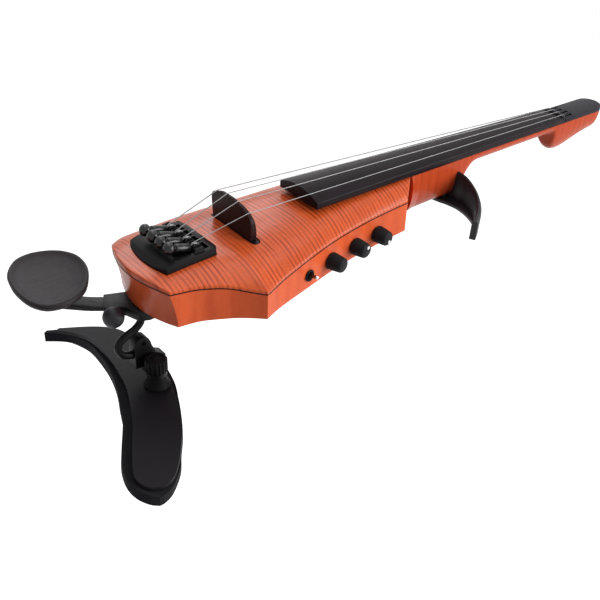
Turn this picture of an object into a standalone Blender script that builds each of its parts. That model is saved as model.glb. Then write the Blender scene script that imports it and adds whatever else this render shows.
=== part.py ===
"""Headless electric viola with its chin rest, shoulder rest and body rest, as separate closed solids.

+X runs from the tail to the head, +Y to the bass side, +Z up out of the top. Every x below is
counted from the bridge; at the end all pieces move so that the origin is the middle of the rear
cover's outer face. Lengths are in metres, written as millimetres * MM.
"""

import math

import bmesh
import bpy
from mathutils import Vector

MM = 0.001
GAP = 0.3 * MM

# Strings
STRING_LENGTH = 356 * MM
BRIDGE_SPACING = 12.5 * MM
NUT_SPACING = 5.7 * MM
TUNER_SPACING = 10.0 * MM
STRING_RADII = (0.3 * MM, 0.33 * MM, 0.38 * MM, 0.44 * MM)
STRINGS_OVER_TOP = (19.8 * MM, 23.7 * MM, 24.6 * MM, 22.0 * MM)
STRINGS_OVER_NUT_SEAT = (6.63 * MM, 7.43 * MM, 7.53 * MM, 6.93 * MM)
ACROSS = (-1.5, -0.5, 0.5, 1.5)

# Body, seen from above: the points its curved edges pass through, and the corners they meet at
WAIST_EDGE = [
    (-77.7, -37.6), (-60.8, -40.1), (-49.0, -44.2), (-36.0, -50.6), (-26.0, -57.9), (-17.6, -65.3),
]
TREBLE_EDGE = [
    (-17.6, -65.3), (-1.0, -59.3), (32.0, -50.8), (56.0, -44.8), (79.0, -40.3), (110.0, -35.8),
    (143.5, -32.7),
]
BASS_EDGE = [
    (-77.7, 38.0), (-66.0, 43.4), (-45.0, 45.6), (-20.0, 47.0), (5.0, 46.6), (38.0, 44.8), (75.0, 42.6),
    (110.0, 38.0), (143.5, 33.0),
]
TAIL_CORNER_X = WAIST_EDGE[0][0] * MM
WAIST_CORNER_X = WAIST_EDGE[-1][0] * MM
SHOULDER_X = BASS_EDGE[-1][0] * MM
SHOULDER_HALF = (BASS_EDGE[-1][1] - TREBLE_EDGE[-1][1]) / 2 * MM
TAIL_BOW = 9.8 * MM
SHOULDER_BOW = 16.2 * MM
SHOULDER_BOW_START = 70 * MM
NECK_JOINT_HALF = 17.6 * MM
UNDERCUT = 5.7 * MM
UNDERCUT_LENGTH = 35 * MM
ARCH_POWER = 3.6
TOP_THICKNESS = 4.0 * MM
TOP_EDGE = 1.6 * MM
LINE_THICKNESS = 0.9 * MM

# Fingerboard: its underside's height where it starts, and how that falls toward the head
BOARD_START = 59.5 * MM
BOARD_HALF_START = 22.4 * MM
BOARD_HALF_NUT = 12.2 * MM
BOARD_EDGE = 4.2 * MM
BOARD_RADIUS = 42 * MM
BOARD_HEIGHT = 41.2 * MM
BOARD_SLOPE = -0.0389

# Top of the body: the height of its crown at the bridge, how the crown differs from that along
# the body, and the height of the dark line at both edges, as (x, height)
BOARD_OVER_TOP = 4.8 * MM
TOP_HEIGHT = BOARD_HEIGHT - BOARD_OVER_TOP
CROWN = [(-77.7, -1.8), (-50.0, -0.4), (0.0, 0.0), (60.0, 2.0), (143.5, 1.2)]
TREBLE_LINE = [
    (-77.7, 28.4), (-43.0, 25.5), (-17.6, 20.3), (10.0, 22.4), (35.0, 24.4), (80.0, 25.6), (143.5, 25.2),
]
BASS_LINE = [(-77.7, 28.4), (-40.0, 27.0), (20.0, 26.6), (80.0, 26.4), (143.5, 25.2)]
OVER_ALL = TOP_HEIGHT + 25 * MM

# Neck and head. The heel's underside rises as a share of the way up to the neck's, and the neck's
# and the head's undersides are depths below the fingerboard's, the head's counted from the nut
HEAD_LENGTH = 63 * MM
HEAD_END = STRING_LENGTH + HEAD_LENGTH
HEAD_ROUND = 17 * MM
HEAD_PLATE_EDGE = 3.5 * MM
NUT_LENGTH = 3.2 * MM
ANCHOR_PLACE = 14 * MM
HEEL_FACE = 160.4 * MM
HEEL_END = 243 * MM
HEEL_FLOOR = 0.4 * MM
TENON_START = 76 * MM
TENON_FLOOR = 22.5 * MM
TENON_INSET = 6.0 * MM
HEEL_RISE = [
    (160.4, 0.0), (218.0, 0.0), (223.0, 0.11), (227.0, 0.38), (230.0, 0.62), (233.5, 0.84), (237.0, 0.955),
    (243.0, 1.0),
]
NECK_DEPTH = [(243.0, 10.9), (252.0, 10.8)]
HEAD_DEPTH = [
    (-21.0, 9.6), (-10.0, 10.0), (-8.6, 12.5), (-7.5, 18.5), (-5.8, 23.6), (-2.5, 27.4), (2.5, 28.9),
    (8.0, 28.9), (15.0, 27.6), (27.0, 23.9), (41.0, 20.2), (51.0, 18.2), (54.0, 17.4), (55.5, 15.8),
    (60.0, 9.0), (63.0, 3.6),
]

# Control bay, cut into the back
BAY_DEPTH = 19.4 * MM
COVER_THICKNESS = 2.0 * MM
COVER_CENTRE = 73.25 * MM
COVER_SCREW_HEAD = 2.3 * MM
COVER_SCREW_RADIUS = 1.25 * MM
COVER_SCREW_SEAT = 1.4 * MM
CONTROL_HEIGHT = 11.0 * MM
POT_PLACES = (55.4 * MM, 83.4 * MM, 109.2 * MM)
TOGGLE_X = 29.8 * MM
CONTROL_HOLE = 3.8 * MM
JACK_X = 90 * MM
JACK_RADIUS = 5.6 * MM
JACK_FLANGE = 8.6 * MM
WALL_AT_CONTROLS = 6.3 * MM
SHAFT_RADIUS = 2.6 * MM

# Bridge and tuner block, which stand in wells of the top
BASE_CENTRE = 1.6 * MM
BASE_HALF_LENGTH = 27.0 * MM
BASE_RADIUS = 3.8 * MM
BASE_DEPTH = 8.4 * MM
BASE_SUNK = 1.2 * MM
TUNER_DEPTH = 9.4 * MM
TUNER_SIDE = 23.6 * MM
TROUGH_HALF = 4.1 * MM
DRUM_AXIS = (-42.6 * MM, TOP_HEIGHT + 5.6 * MM)
DRUM_RADIUS = 3.1 * MM
KNOB_CENTRE = (-63.0 * MM, TOP_HEIGHT + 11.8 * MM)

# Rests
REST_ROD_RADIUS = 2.8 * MM
REST_ROD_PLACE = (-80.4 * MM, -2.2 * MM)
ARM_PIVOT = (-90.4 * MM, 18.5 * MM)
CLAMP_HEADING = math.radians(-119)
CLAMP_REACH = 16.5 * MM
CLAMP_FACE = 9.95 * MM
CLAMP_SCREW_RADIUS = 1.8 * MM
CLAMP_KNOB_RADIUS = 7.7 * MM
MOUNT_TOP = -GAP
ARM_LINE = [(-103.0 * MM, 27.5 * MM), (-111.0 * MM, 35.0 * MM), (-119.5 * MM, 43.0 * MM)]
ARM_HALF = 6.5 * MM
ARM_LOW = -6.0 * MM
ARM_HIGH = -2.4 * MM
ARM_SWING = math.radians(14)
MOUNT_BOTTOM = -8.3 * MM
CHIN_CENTRE = (-126.0 * MM, 36.0 * MM)
CHIN_EDGE = [
    (-154, 26), (-153.5, 39), (-149, 56), (-138.5, 68.5), (-127, 72), (-115.5, 69.5), (-106, 63.5),
    (-100, 55), (-98, 46), (-99.5, 34), (-105, 22), (-114, 9.5), (-125, 2.8), (-136, 1), (-146, 4.5),
    (-152, 14),
]
CHIN_TOP = 24.0 * MM
WHEEL_PLACE = (-78.4 * MM, -15.6 * MM)
WHEEL_RADIUS = 8.0 * MM
WHEEL_TOP = -36.5 * MM
STEM_RADIUS = 3.0 * MM
SHOULDER_TOP = -60.0 * MM
SHOULDER_ARCH = 1.2
PAD_INNER = [
    (-129, -98), (-134, -94), (-138.5, -87), (-140, -78), (-138, -68), (-134, -60), (-126, -47), (-116, -31),
    (-109, -15), (-101, 3), (-95, 23), (-91, 45), (-89, 65), (-90, 81), (-92.5, 94), (-97, 103),
    (-104.5, 113),
]
PAD_OUTER = [
    (-125.5, -98), (-119.5, -96.5), (-112, -92), (-103.5, -84.5), (-95.5, -74), (-87, -62.5), (-79, -49),
    (-71, -33), (-65, -18), (-60.5, -1), (-58, 20), (-57.5, 45), (-60, 65), (-66, 79), (-76, 92), (-87, 103),
    (-101, 115.5),
]
PLATE_INNER = [
    (-126.5, -95), (-131.5, -92.5), (-135.5, -87.5), (-136.5, -80), (-132, -70), (-123, -55), (-113, -39),
    (-105, -22), (-98, -5), (-93.5, 14), (-90.5, 30), (-88.5, 50), (-88, 68), (-91, 84), (-99, 102),
]
PLATE_OUTER = [
    (-122.5, -95.5), (-116.5, -94), (-110, -89.5), (-103, -82.5), (-94.5, -71.5), (-85, -56), (-77, -39.5),
    (-70.5, -23), (-65, -5), (-62, 14), (-61, 30), (-61.5, 50), (-64.5, 68), (-75, 84), (-96, 104),
]
PLATE_THICKNESS = 3.0 * MM
PAD_THICKNESS = 8.6 * MM


def clear_scene():
    """Takes every object out of the startup scene."""
    for obj in list(bpy.data.objects):
        bpy.data.objects.remove(obj, do_unlink=True)


def interpolate(table, x):
    """Straight-line value of a table of (x, value) in millimetres at x in metres."""
    x = x / MM
    if x <= table[0][0]:
        return table[0][1] * MM
    for (x0, v0), (x1, v1) in zip(table, table[1:]):
        if x <= x1:
            return (v0 + (v1 - v0) * (x - x0) / (x1 - x0)) * MM
    return table[-1][1] * MM


def smooth(points, steps):
    """Points of a curve that passes through the given ones, as vectors in the units given."""
    given = [Vector(p) for p in points]
    ends = [given[0] * 2 - given[1]] + given + [given[-1] * 2 - given[-2]]
    curve = []
    for i in range(1, len(ends) - 2):
        before, start, end, after = ends[i - 1 : i + 3]
        for k in range(steps):
            t = k / steps
            a = 2 * start
            b = (end - before) * t
            c = (2 * before - 5 * start + 4 * end - after) * t**2
            d = (3 * start - before - 3 * end + after) * t**3
            curve.append((a + b + c + d) / 2)
    curve.append(given[-1])
    return curve


def edge_frame(table, x, outward):
    """The point of the body's side at x, as a curve through the table, and its outward direction."""
    curve = [(p.x, p.y) for p in smooth(table, 4)]
    here = Vector((x, interpolate(curve, x), CONTROL_HEIGHT))
    step = 4 * MM
    slope = (interpolate(curve, x + step) - interpolate(curve, x - step)) / (2 * step)
    normal = Vector((-slope, 1, 0)).normalized() * outward
    return here, normal


def material(name, colour, roughness=0.5, metallic=0.0):
    """A plain material of its own for one piece."""
    made = bpy.data.materials.new(name)
    made.use_nodes = True
    shader = made.node_tree.nodes["Principled BSDF"]
    shader.inputs["Base Color"].default_value = (*colour, 1)
    shader.inputs["Roughness"].default_value = roughness
    shader.inputs["Metallic"].default_value = metallic
    return made


MAPLE = (0.72, 0.24, 0.08)
EBONY = (0.02, 0.018, 0.018)
BLACK = (0.025, 0.025, 0.028)
SATIN = (0.05, 0.05, 0.055)
STEEL = (0.7, 0.7, 0.72)
BOARD_GREEN = (0.03, 0.16, 0.07)


def node(name, mesh, colour, roughness=0.5, metallic=0.0, location=(0, 0, 0), angle=60):
    """An object of the finished mesh, shaded smooth up to the given angle between faces."""
    bmesh.ops.recalc_face_normals(mesh, faces=mesh.faces)
    data = bpy.data.meshes.new(name)
    mesh.to_mesh(data)
    mesh.free()
    obj = bpy.data.objects.new(name, data)
    bpy.context.scene.collection.objects.link(obj)
    obj.location = location
    data.materials.append(material(name, colour, roughness, metallic))
    data.shade_smooth()
    data.set_sharp_from_angle(angle=math.radians(angle))
    return obj


def hide(obj):
    """Turns an object into a cutter: no part of the finished model."""
    obj.hide_render = True
    obj.display_type = "WIRE"
    return obj


def combine(obj, other, operation):
    """Adds an exact Boolean of obj with other, which stays as a hidden helper."""
    boolean = obj.modifiers.new(other.name, "BOOLEAN")
    boolean.operation = operation
    boolean.solver = "EXACT"
    boolean.object = hide(other)


def cut(obj, *others):
    for other in others:
        combine(obj, other, "DIFFERENCE")


def join(obj, *others):
    for other in others:
        combine(obj, other, "UNION")


def soften(obj, width, segments=2, angle=40):
    """Rounds the edges sharper than the given angle."""
    bevel = obj.modifiers.new("edge", "BEVEL")
    bevel.width = width
    bevel.segments = segments
    bevel.limit_method = "ANGLE"
    bevel.angle_limit = math.radians(angle)
    bevel.harden_normals = False
    return obj


def loft(rings, caps=True):
    """A closed mesh through rings that have the same number of points."""
    mesh = bmesh.new()
    rows = [[mesh.verts.new(p) for p in ring] for ring in rings]
    count = len(rows[0])
    for low, high in zip(rows, rows[1:]):
        for i in range(count):
            j = (i + 1) % count
            mesh.faces.new((low[i], low[j], high[j], high[i]))
    if caps:
        mesh.faces.new(rows[0])
        mesh.faces.new(rows[-1])
    return mesh


def sheet(mesh, grid):
    """Adds a grid of points to a mesh as quads and returns its vertices."""
    rows = [[mesh.verts.new(p) for p in row] for row in grid]
    for low, high in zip(rows, rows[1:]):
        for i in range(len(low) - 1):
            mesh.faces.new((low[i], low[i + 1], high[i + 1], high[i]))
    return rows


def slab(lower, upper):
    """A closed mesh between two grids of points of the same size."""
    mesh = bmesh.new()
    walls = [rim(sheet(mesh, lower)), rim(sheet(mesh, upper))]
    return walled(mesh, walls)


def block(rings, upper):
    """A closed mesh: a flat underside, side walls through rings and a curved grid on top."""
    mesh = bmesh.new()
    walls = [[mesh.verts.new(p) for p in ring] for ring in rings] + [rim(sheet(mesh, upper))]
    mesh.faces.new(walls[0])
    return walled(mesh, walls)


def walled(mesh, walls):
    """Joins rings of a mesh's vertices by quads."""
    for low, high in zip(walls, walls[1:]):
        for i in range(len(low)):
            j = (i + 1) % len(low)
            mesh.faces.new((low[i], low[j], high[j], high[i]))
    return mesh


def rim(grid):
    """The points round the edge of a grid, in order."""
    first = list(grid[0])
    last = list(grid[-1])
    right = [row[-1] for row in grid[1:-1]]
    left = [row[0] for row in grid[1:-1]]
    return first + right + last[::-1] + left[::-1]


def prism(outline, low, high):
    """A closed mesh: a flat outline in X and Y raised from low to high."""
    return loft([[(x, y, low) for x, y in outline], [(x, y, high) for x, y in outline]])


def side_prism(outline, low, high):
    """A closed mesh: a flat outline in X and Z carried along Y from low to high."""
    return loft([[(x, low, z) for x, z in outline], [(x, high, z) for x, z in outline]])


def box(x0, x1, y0, y1, z0, z1):
    return prism([(x0, y0), (x1, y0), (x1, y1), (x0, y1)], z0, z1)


def ring_of(centre, u, v, radius, count):
    return [
        centre + radius * (u * math.cos(2 * math.pi * i / count) + v * math.sin(2 * math.pi * i / count))
        for i in range(count)
    ]


def turned(profile, axis=(0, 0, 1), count=32):
    """A turned solid from (distance along the axis, radius) pairs; both ends are closed."""
    axis = Vector(axis).normalized()
    u = axis.orthogonal().normalized()
    v = axis.cross(u)
    least = 0.02 * MM
    return loft([ring_of(axis * along, u, v, max(radius, least), count) for along, radius in profile])


def tube(path, radius, count=8):
    """A closed round bar along a path, with flat ends."""
    path = [Vector(p) for p in path]
    rings = []
    side = None
    for i, point in enumerate(path):
        ahead = path[min(i + 1, len(path) - 1)] - path[max(i - 1, 0)]
        ahead.normalize()
        if side is None:
            side = ahead.orthogonal().normalized()
        side = (side - ahead * side.dot(ahead)).normalized()
        rings.append(ring_of(point, side, ahead.cross(side), radius, count))
    return loft(rings)


def cylinder_mesh(start, end, radius, count=20):
    return tube([start, end], radius, count)


# Surfaces of the body


def body_columns():
    """Stations along the body, as (x, treble y, bass y)."""
    treble = smooth([(x * MM, y * MM) for x, y in WAIST_EDGE], 2)[:-1]
    treble += smooth([(x * MM, y * MM) for x, y in TREBLE_EDGE], 2)
    bass = [(p.x / MM, p.y / MM) for p in smooth([(x * MM, y * MM) for x, y in BASS_EDGE], 4)]
    return [(p.x, p.y, interpolate(bass, p.x)) for p in treble]


def shares_across():
    """Places across the body from the treble edge to the bass edge, closer together near the edges."""
    half = [0.0, 0.3, NECK_JOINT_HALF / SHOULDER_HALF, 0.8, 1.0]
    return [-u for u in reversed(half)] + half[1:]


def grid_at(height, proud=0.0, shift=0.0):
    """The body's grid of points, with a height function of (x, share across)."""
    grid = []
    joint = NECK_JOINT_HALF / SHOULDER_HALF
    for x, treble, bass in body_columns():
        row = []
        tail = max(0.0, 1 - (x - TAIL_CORNER_X) / (WAIST_CORNER_X - TAIL_CORNER_X))
        shoulder = max(0.0, (x - SHOULDER_BOW_START) / (SHOULDER_X - SHOULDER_BOW_START))
        for u in shares_across():
            y = -u * treble if u < 0 else u * bass
            px = x - TAIL_BOW * tail * (1 - u * u)
            px += SHOULDER_BOW * shoulder * min(1.0, (1 - abs(u)) / (1 - joint))
            px += shift * max(0.0, 1 - (x - TAIL_CORNER_X) / UNDERCUT_LENGTH)
            if abs(u) == 1:
                y += math.copysign(proud, y)
            row.append((px, y, height(x, u)))
        grid.append(row)
    return grid


def arched(depth_centre, lift_edge):
    """A height function: an arch from the dark line at the edges up to a crown in the middle."""

    def height(x, u):
        edge = interpolate(TREBLE_LINE if u < 0 else BASS_LINE, x) + lift_edge
        crown = TOP_HEIGHT + interpolate(CROWN, x) - depth_centre
        return crown - (crown - edge) * abs(u) ** ARCH_POWER

    return height


# Cutters shared by the body, the dark line and the top


def board_half(x):
    share = (x - BOARD_START) / (STRING_LENGTH - BOARD_START)
    return BOARD_HALF_START + (BOARD_HALF_NUT - BOARD_HALF_START) * min(share, 1.0)


def board_floor(x):
    return BOARD_HEIGHT + BOARD_SLOPE * (x - BOARD_START)


def tenon_half(x):
    return board_half(x) - TENON_INSET


def tenon_cutter(name):
    """The slot that the neck's tenon fills."""
    start = TENON_START - GAP
    end = HEEL_FACE + 40 * MM
    outline = [(start, -tenon_half(start) - GAP), (end, -tenon_half(end) - GAP), (end, tenon_half(end) + GAP)]
    outline.append((start, tenon_half(start) + GAP))
    return node(name, prism(outline, TENON_FLOOR - GAP, OVER_ALL), MAPLE)


def tuner_outline(grow=0.0):
    """The tuner block from above: a bowed tail end and a narrower bridge end with cut corners."""
    tail = [(-70.6 * MM - grow, -TUNER_SIDE - grow)]
    for i in range(9):
        y = (i - 4) / 4.5
        tail.append((-75.4 * MM - grow + 4.8 * MM * y * y, y * (TUNER_SIDE + grow)))
    tail.append((-70.6 * MM - grow, TUNER_SIDE + grow))
    front = [(-30.5 * MM + grow, 23.2 * MM + grow), (-27.0 * MM + grow, 17.5 * MM)]
    front += [(-27.0 * MM + grow, -17.5 * MM), (-30.5 * MM + grow, -23.2 * MM - grow)]
    return tail + front


def tuner_cutter(name):
    return node(name, prism(tuner_outline(GAP), TOP_HEIGHT - TUNER_DEPTH - GAP, OVER_ALL), MAPLE)


def slot_outline(half_length, radius, count=10):
    """A long hole with round ends, along Y."""
    outline = []
    for side in (1, -1):
        for i in range(count + 1):
            turn = math.pi * i / count
            x = BASE_CENTRE + radius * math.cos(turn) * side
            y = side * (half_length - radius + radius * math.sin(turn))
            outline.append((x, y - 0.8 * MM))
    return outline


def bridge_cutter(name):
    outline = slot_outline(BASE_HALF_LENGTH + GAP, BASE_RADIUS + GAP)
    return node(name, prism(outline, TOP_HEIGHT - BASE_DEPTH - GAP, OVER_ALL), MAPLE)


def top_cutters(prefix):
    wells = [tenon_cutter(prefix + "_neck"), tuner_cutter(prefix + "_tuner")]
    return wells + [bridge_cutter(prefix + "_bridge")]


# Body


def bay_outline():
    """The control bay from below, following the treble side at the thickness of its wall."""
    points = []
    for x in (20, 38, 47, 64, 75, 92, 101, 118, 124):
        place, out = edge_frame(TREBLE_EDGE, x * MM, -1)
        inside = place - out * WALL_AT_CONTROLS
        points.append((inside.x, inside.y))
    points += [(124 * MM, 24 * MM), (22 * MM, 24 * MM)]
    return points


def cover_screw_places():
    return [(17.5 * MM, -34 * MM), (17.5 * MM, 20 * MM), (129.0 * MM, -22 * MM), (129.0 * MM, 20 * MM)]


def cover_outline(grow=0.0):
    """The rear cover from below: the bay with a lip that takes the screws."""
    x0 = 13.5 * MM - grow
    x1 = 133 * MM + grow
    inset = 4.2 * MM - grow
    treble = [(x, interpolate(TREBLE_EDGE, x) + inset) for x in (x0, 45 * MM, 75 * MM, 105 * MM, x1)]
    return treble + [(x1, 28 * MM + grow), (x0, 28 * MM + grow)]


def body():
    """The body: a flat back, sides cut under at the tail, and wells, bay and holes."""

    def floor(x, u):
        return 0.0

    upper = grid_at(arched(TOP_THICKNESS + LINE_THICKNESS + GAP, -LINE_THICKNESS / 2 - GAP / 2))
    top_rim = rim(upper)
    low_rim = rim(grid_at(floor, shift=UNDERCUT))
    straight_rim = rim(grid_at(floor))
    walls = [low_rim]
    for t in (0.75, 0.4):
        ring = []
        for high, low, straight in zip(top_rim, low_rim, straight_rim):
            moved = (low[0] - straight[0]) * (1 - (1 - t) ** 1.6)
            ring.append((high[0] + moved, high[1], high[2] * (1 - t)))
        walls.append(ring)
    obj = node("body", block(walls, upper), MAPLE, 0.25)
    cut(obj, *top_cutters("cut_body"))
    cut(obj, node("cut_bay", prism(bay_outline(), -5 * MM, BAY_DEPTH), MAPLE))
    cut(obj, node("cut_cover", prism(cover_outline(GAP), -5 * MM, COVER_THICKNESS + GAP), MAPLE))
    for i, (x, y) in enumerate(cover_screw_places()):
        hole = cylinder_mesh((x, y, -1 * MM), (x, y, 10.5 * MM), COVER_SCREW_RADIUS + GAP, 12)
        cut(obj, node(f"cut_cover_screw_{i}", hole, MAPLE))
    for i, x in enumerate(POT_PLACES + (TOGGLE_X,)):
        place, out = edge_frame(TREBLE_EDGE, x, -1)
        hole = cylinder_mesh(place - out * 12 * MM, place + out * 12 * MM, CONTROL_HOLE, 16)
        cut(obj, node(f"cut_control_{i}", hole, MAPLE))
    place = jack_seat()
    outside = place + Vector((0, 12 * MM, 0))
    inside = place - Vector((0, 30 * MM, 0))
    cut(obj, node("cut_jack", cylinder_mesh(inside, outside, JACK_RADIUS + GAP, 20), MAPLE))
    cut(obj, node("cut_jack_seat", cylinder_mesh(place, outside, JACK_FLANGE + GAP, 24), MAPLE))
    for i, (x, y) in enumerate(mount_screw_places()):
        hole = cylinder_mesh((x, y, -1 * MM), (x, y, 12.5 * MM), 1.6 * MM + GAP, 16)
        cut(obj, node(f"cut_mount_screw_{i}", hole, MAPLE))
    return obj


def dark_line():
    """The thin dark layer under the top, which shows as a line round its edge."""
    proud = 0.1 * MM
    lower = grid_at(arched(TOP_THICKNESS + LINE_THICKNESS, -LINE_THICKNESS / 2), proud)
    upper = grid_at(arched(TOP_THICKNESS + GAP, LINE_THICKNESS / 2 - GAP / 2), proud)
    obj = node("binding_line", slab(lower, upper), EBONY, 0.4)
    cut(obj, *top_cutters("cut_line"))
    return obj


def top_plate():
    """The arched top, with its wells for the neck, the tuner block and the bridge."""
    lower = grid_at(arched(TOP_THICKNESS, LINE_THICKNESS / 2))
    upper = grid_at(arched(0.0, LINE_THICKNESS / 2 + TOP_EDGE))
    obj = node("top_plate", slab(lower, upper), MAPLE, 0.2)
    cut(obj, *top_cutters("cut_top"))
    return obj


# Neck, fingerboard, nut and head


def neck_section(x, half, floor, power, count=12):
    """A ring across the neck: flat above, rounded below."""
    roof = board_floor(x) - GAP
    ring = []
    for i in range(count + 1):
        turn = math.pi * i / count
        across = abs(math.cos(turn)) ** (2 / power)
        down = math.sin(turn) ** (2 / power) if 0 < i < count else 0.0
        ring.append((x, -math.copysign(half * across, math.cos(turn)), roof - (roof - floor) * down))
    return ring


def neck_depths():
    """Depths of the neck's and the head's undersides, as (x in millimetres, depth)."""
    return NECK_DEPTH + [(STRING_LENGTH / MM + x, depth) for x, depth in HEAD_DEPTH]


def neck_floor(x):
    """Height of the underside of heel, neck and head."""
    if x >= HEEL_END:
        return board_floor(x) - interpolate(neck_depths(), x)
    top = board_floor(HEEL_END) - interpolate(neck_depths(), HEEL_END)
    return HEEL_FLOOR + (top - HEEL_FLOOR) * interpolate(HEEL_RISE, x) / MM


def neck():
    """The neck: its tenon in the body, the heel, the slim neck and the head with its volute."""
    rings = [neck_section(x, tenon_half(x), TENON_FLOOR, 20) for x in (TENON_START, HEEL_FACE - GAP)]
    heel = [v * MM for v in (160.4, 166, 172, 200, 218, 223, 227, 230, 233.5, 237, 243, 252)]
    volute = [STRING_LENGTH + v * MM for v in (-21, -10, -8.6, -7.5, -5.8, -2.5, 2.5, 8, 15, 27, 41)]
    tip = [HEAD_END - v * MM for v in (15, 12, 9, 7.5, 3, 0.2)]
    flare_end = 172 * MM
    flare = 1.2 * MM
    for x in heel + volute + tip:
        half = head_half(x) - GAP + flare * max(0.0, (flare_end - x) / (flare_end - HEEL_FACE))
        power = 3.6 - 1.3 * min(1.0, max(0.0, (x - heel[4]) / (HEEL_END - heel[4])))
        rings.append(neck_section(x, half, neck_floor(x), power))
    obj = node("neck", loft(rings), MAPLE, 0.25, angle=50)
    for i, (x, y) in enumerate(bracket_screw_places()):
        hole = cylinder_mesh((x, y, -1 * MM), (x, y, 9.5 * MM), 1.5 * MM + GAP, 16)
        cut(obj, node(f"cut_bracket_screw_{i}", hole, MAPLE))
    return obj


def head_half(x):
    """Half the width of board and head at x, with the rounded tip."""
    if x <= STRING_LENGTH:
        return board_half(x)
    half = BOARD_HALF_NUT + 0.6 * MM * min(1.0, (x - STRING_LENGTH) / (40 * MM))
    tip = 1 - (HEAD_END - x) / HEAD_ROUND
    if tip > 0:
        half *= math.sqrt(max(0.0, 1 - min(tip, 0.998) ** 2.2))
    return half


def arch_over(half, y):
    """Height of the fingerboard's arch above its edge."""
    return math.sqrt(BOARD_RADIUS**2 - y * y) - math.sqrt(BOARD_RADIUS**2 - half * half)


def board_section(x, half, edge, count=14):
    floor = board_floor(x)
    ring = [(x, -half, floor)]
    for i in range(count + 1):
        y = half * (2 * i / count - 1)
        ring.append((x, y, floor + edge + arch_over(half, y)))
    ring.append((x, half, floor))
    return ring


def fingerboard():
    """The long board: flat below, arched across."""
    rings = []
    for i in range(3):
        x = BOARD_START + (STRING_LENGTH - BOARD_START) * i / 2
        rings.append(board_section(x, board_half(x), BOARD_EDGE))
    return soften(node("fingerboard", loft(rings), EBONY, 0.3), 0.4 * MM, angle=50)


def bridge_string_height(i):
    return TOP_HEIGHT + STRINGS_OVER_TOP[i]


def nut_string_height(i):
    return board_floor(STRING_LENGTH) + STRINGS_OVER_NUT_SEAT[i]


def nut():
    """The nut, arched under the strings."""
    start = STRING_LENGTH + GAP
    end = start + NUT_LENGTH
    half = BOARD_HALF_NUT - GAP
    rings = []
    for x in (start, end):
        floor = board_floor(x)
        edge = floor + BOARD_EDGE + 0.4 * MM
        ring = [(x, -half, floor), (x, -half, edge)]
        for i in range(4):
            ring.append((x, ACROSS[i] * NUT_SPACING, nut_string_height(i) - STRING_RADII[i] - 0.15 * MM))
        ring += [(x, half, edge), (x, half, floor)]
        rings.append(ring)
    return node("nut", loft(rings), EBONY, 0.35)


def anchor_places():
    """Where each string ends in the head plate, as (x, y)."""
    stagger = 1.0 * MM
    return [(STRING_LENGTH + ANCHOR_PLACE + stagger * (i % 2), ACROSS[i] * NUT_SPACING) for i in range(4)]


def head_plate():
    """The plate on the head, crowned across, with a slot and a pocket for each string."""
    start = STRING_LENGTH + NUT_LENGTH + 2 * GAP
    crown = 1.0 * MM
    rings = []
    for x in [start] + [HEAD_END - v * MM for v in (34, 17, 11, 7, 4, 1.6, 0)]:
        half = head_half(x)
        floor = board_floor(x)
        rise = crown * min(1.0, half / (8 * MM))
        ring = [(x, -half, floor)]
        for i in range(9):
            share = i / 4 - 1
            ring.append((x, half * share, floor + HEAD_PLATE_EDGE + rise * (1 - share * share)))
        ring.append((x, half, floor))
        rings.append(ring)
    obj = node("head_plate", loft(rings), EBONY, 0.3, angle=50)
    slot_half = 1.1 * MM
    for i, (x, y) in enumerate(anchor_places()):
        slot = box(start - 2 * MM, x, y - slot_half, y + slot_half, board_floor(x) + 1.1 * MM, OVER_ALL)
        cut(obj, node(f"cut_head_slot_{i}", slot, EBONY))
        pocket = cylinder_mesh((x, y, board_floor(x) + 0.9 * MM), (x, y, OVER_ALL), 1.6 * MM, 12)
        cut(obj, node(f"cut_head_pocket_{i}", pocket, EBONY))
    return obj


# Bridge


def bridge():
    """The bridge: an arched blade, thicker toward its foot."""
    crests = [
        (ACROSS[i] * BRIDGE_SPACING, bridge_string_height(i) - STRING_RADII[i] - 0.4 * MM) for i in range(4)
    ]

    def over_top(*points):
        return [(y * MM, TOP_HEIGHT + z * MM) for y, z in points]

    foot = (GAP - BASE_SUNK) / MM
    outline = over_top((-22.4, foot), (-23.6, 6.0), (-23.7, 11.0), (-22.6, 15.2)) + [crests[0]]
    outline += over_top((-12.5, 22.0)) + [crests[1]] + over_top((0, 24.0)) + [crests[2]]
    outline += over_top((12.5, 23.5)) + [crests[3]]
    outline += over_top((22.4, 19.9), (24.6, 17.0), (24.4, 9.6), (22.6, foot))
    crest = TOP_HEIGHT + 25.3 * MM

    def face(side):
        taper = 0.02 if side < 0 else 0.13
        return [(side * (1.1 * MM + taper * (crest - z)), y, z) for y, z in outline]

    return soften(node("bridge", loft([face(-1), face(1)]), EBONY, 0.35), 0.35 * MM, 2, 50)


def bridge_base():
    """The dark base that the bridge stands on, sunk into a slot of the top."""
    outline = slot_outline(BASE_HALF_LENGTH, BASE_RADIUS)
    mesh = prism(outline, TOP_HEIGHT - BASE_DEPTH, TOP_HEIGHT - BASE_SUNK)
    return soften(node("bridge_base", mesh, EBONY, 0.4), 0.6 * MM, 2, 50)


# Tuners


def tuner_direction():
    """Unit vector along the worm shafts, from drum to knob."""
    return Vector((KNOB_CENTRE[0] - DRUM_AXIS[0], 0, KNOB_CENTRE[1] - DRUM_AXIS[1])).normalized()


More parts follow.
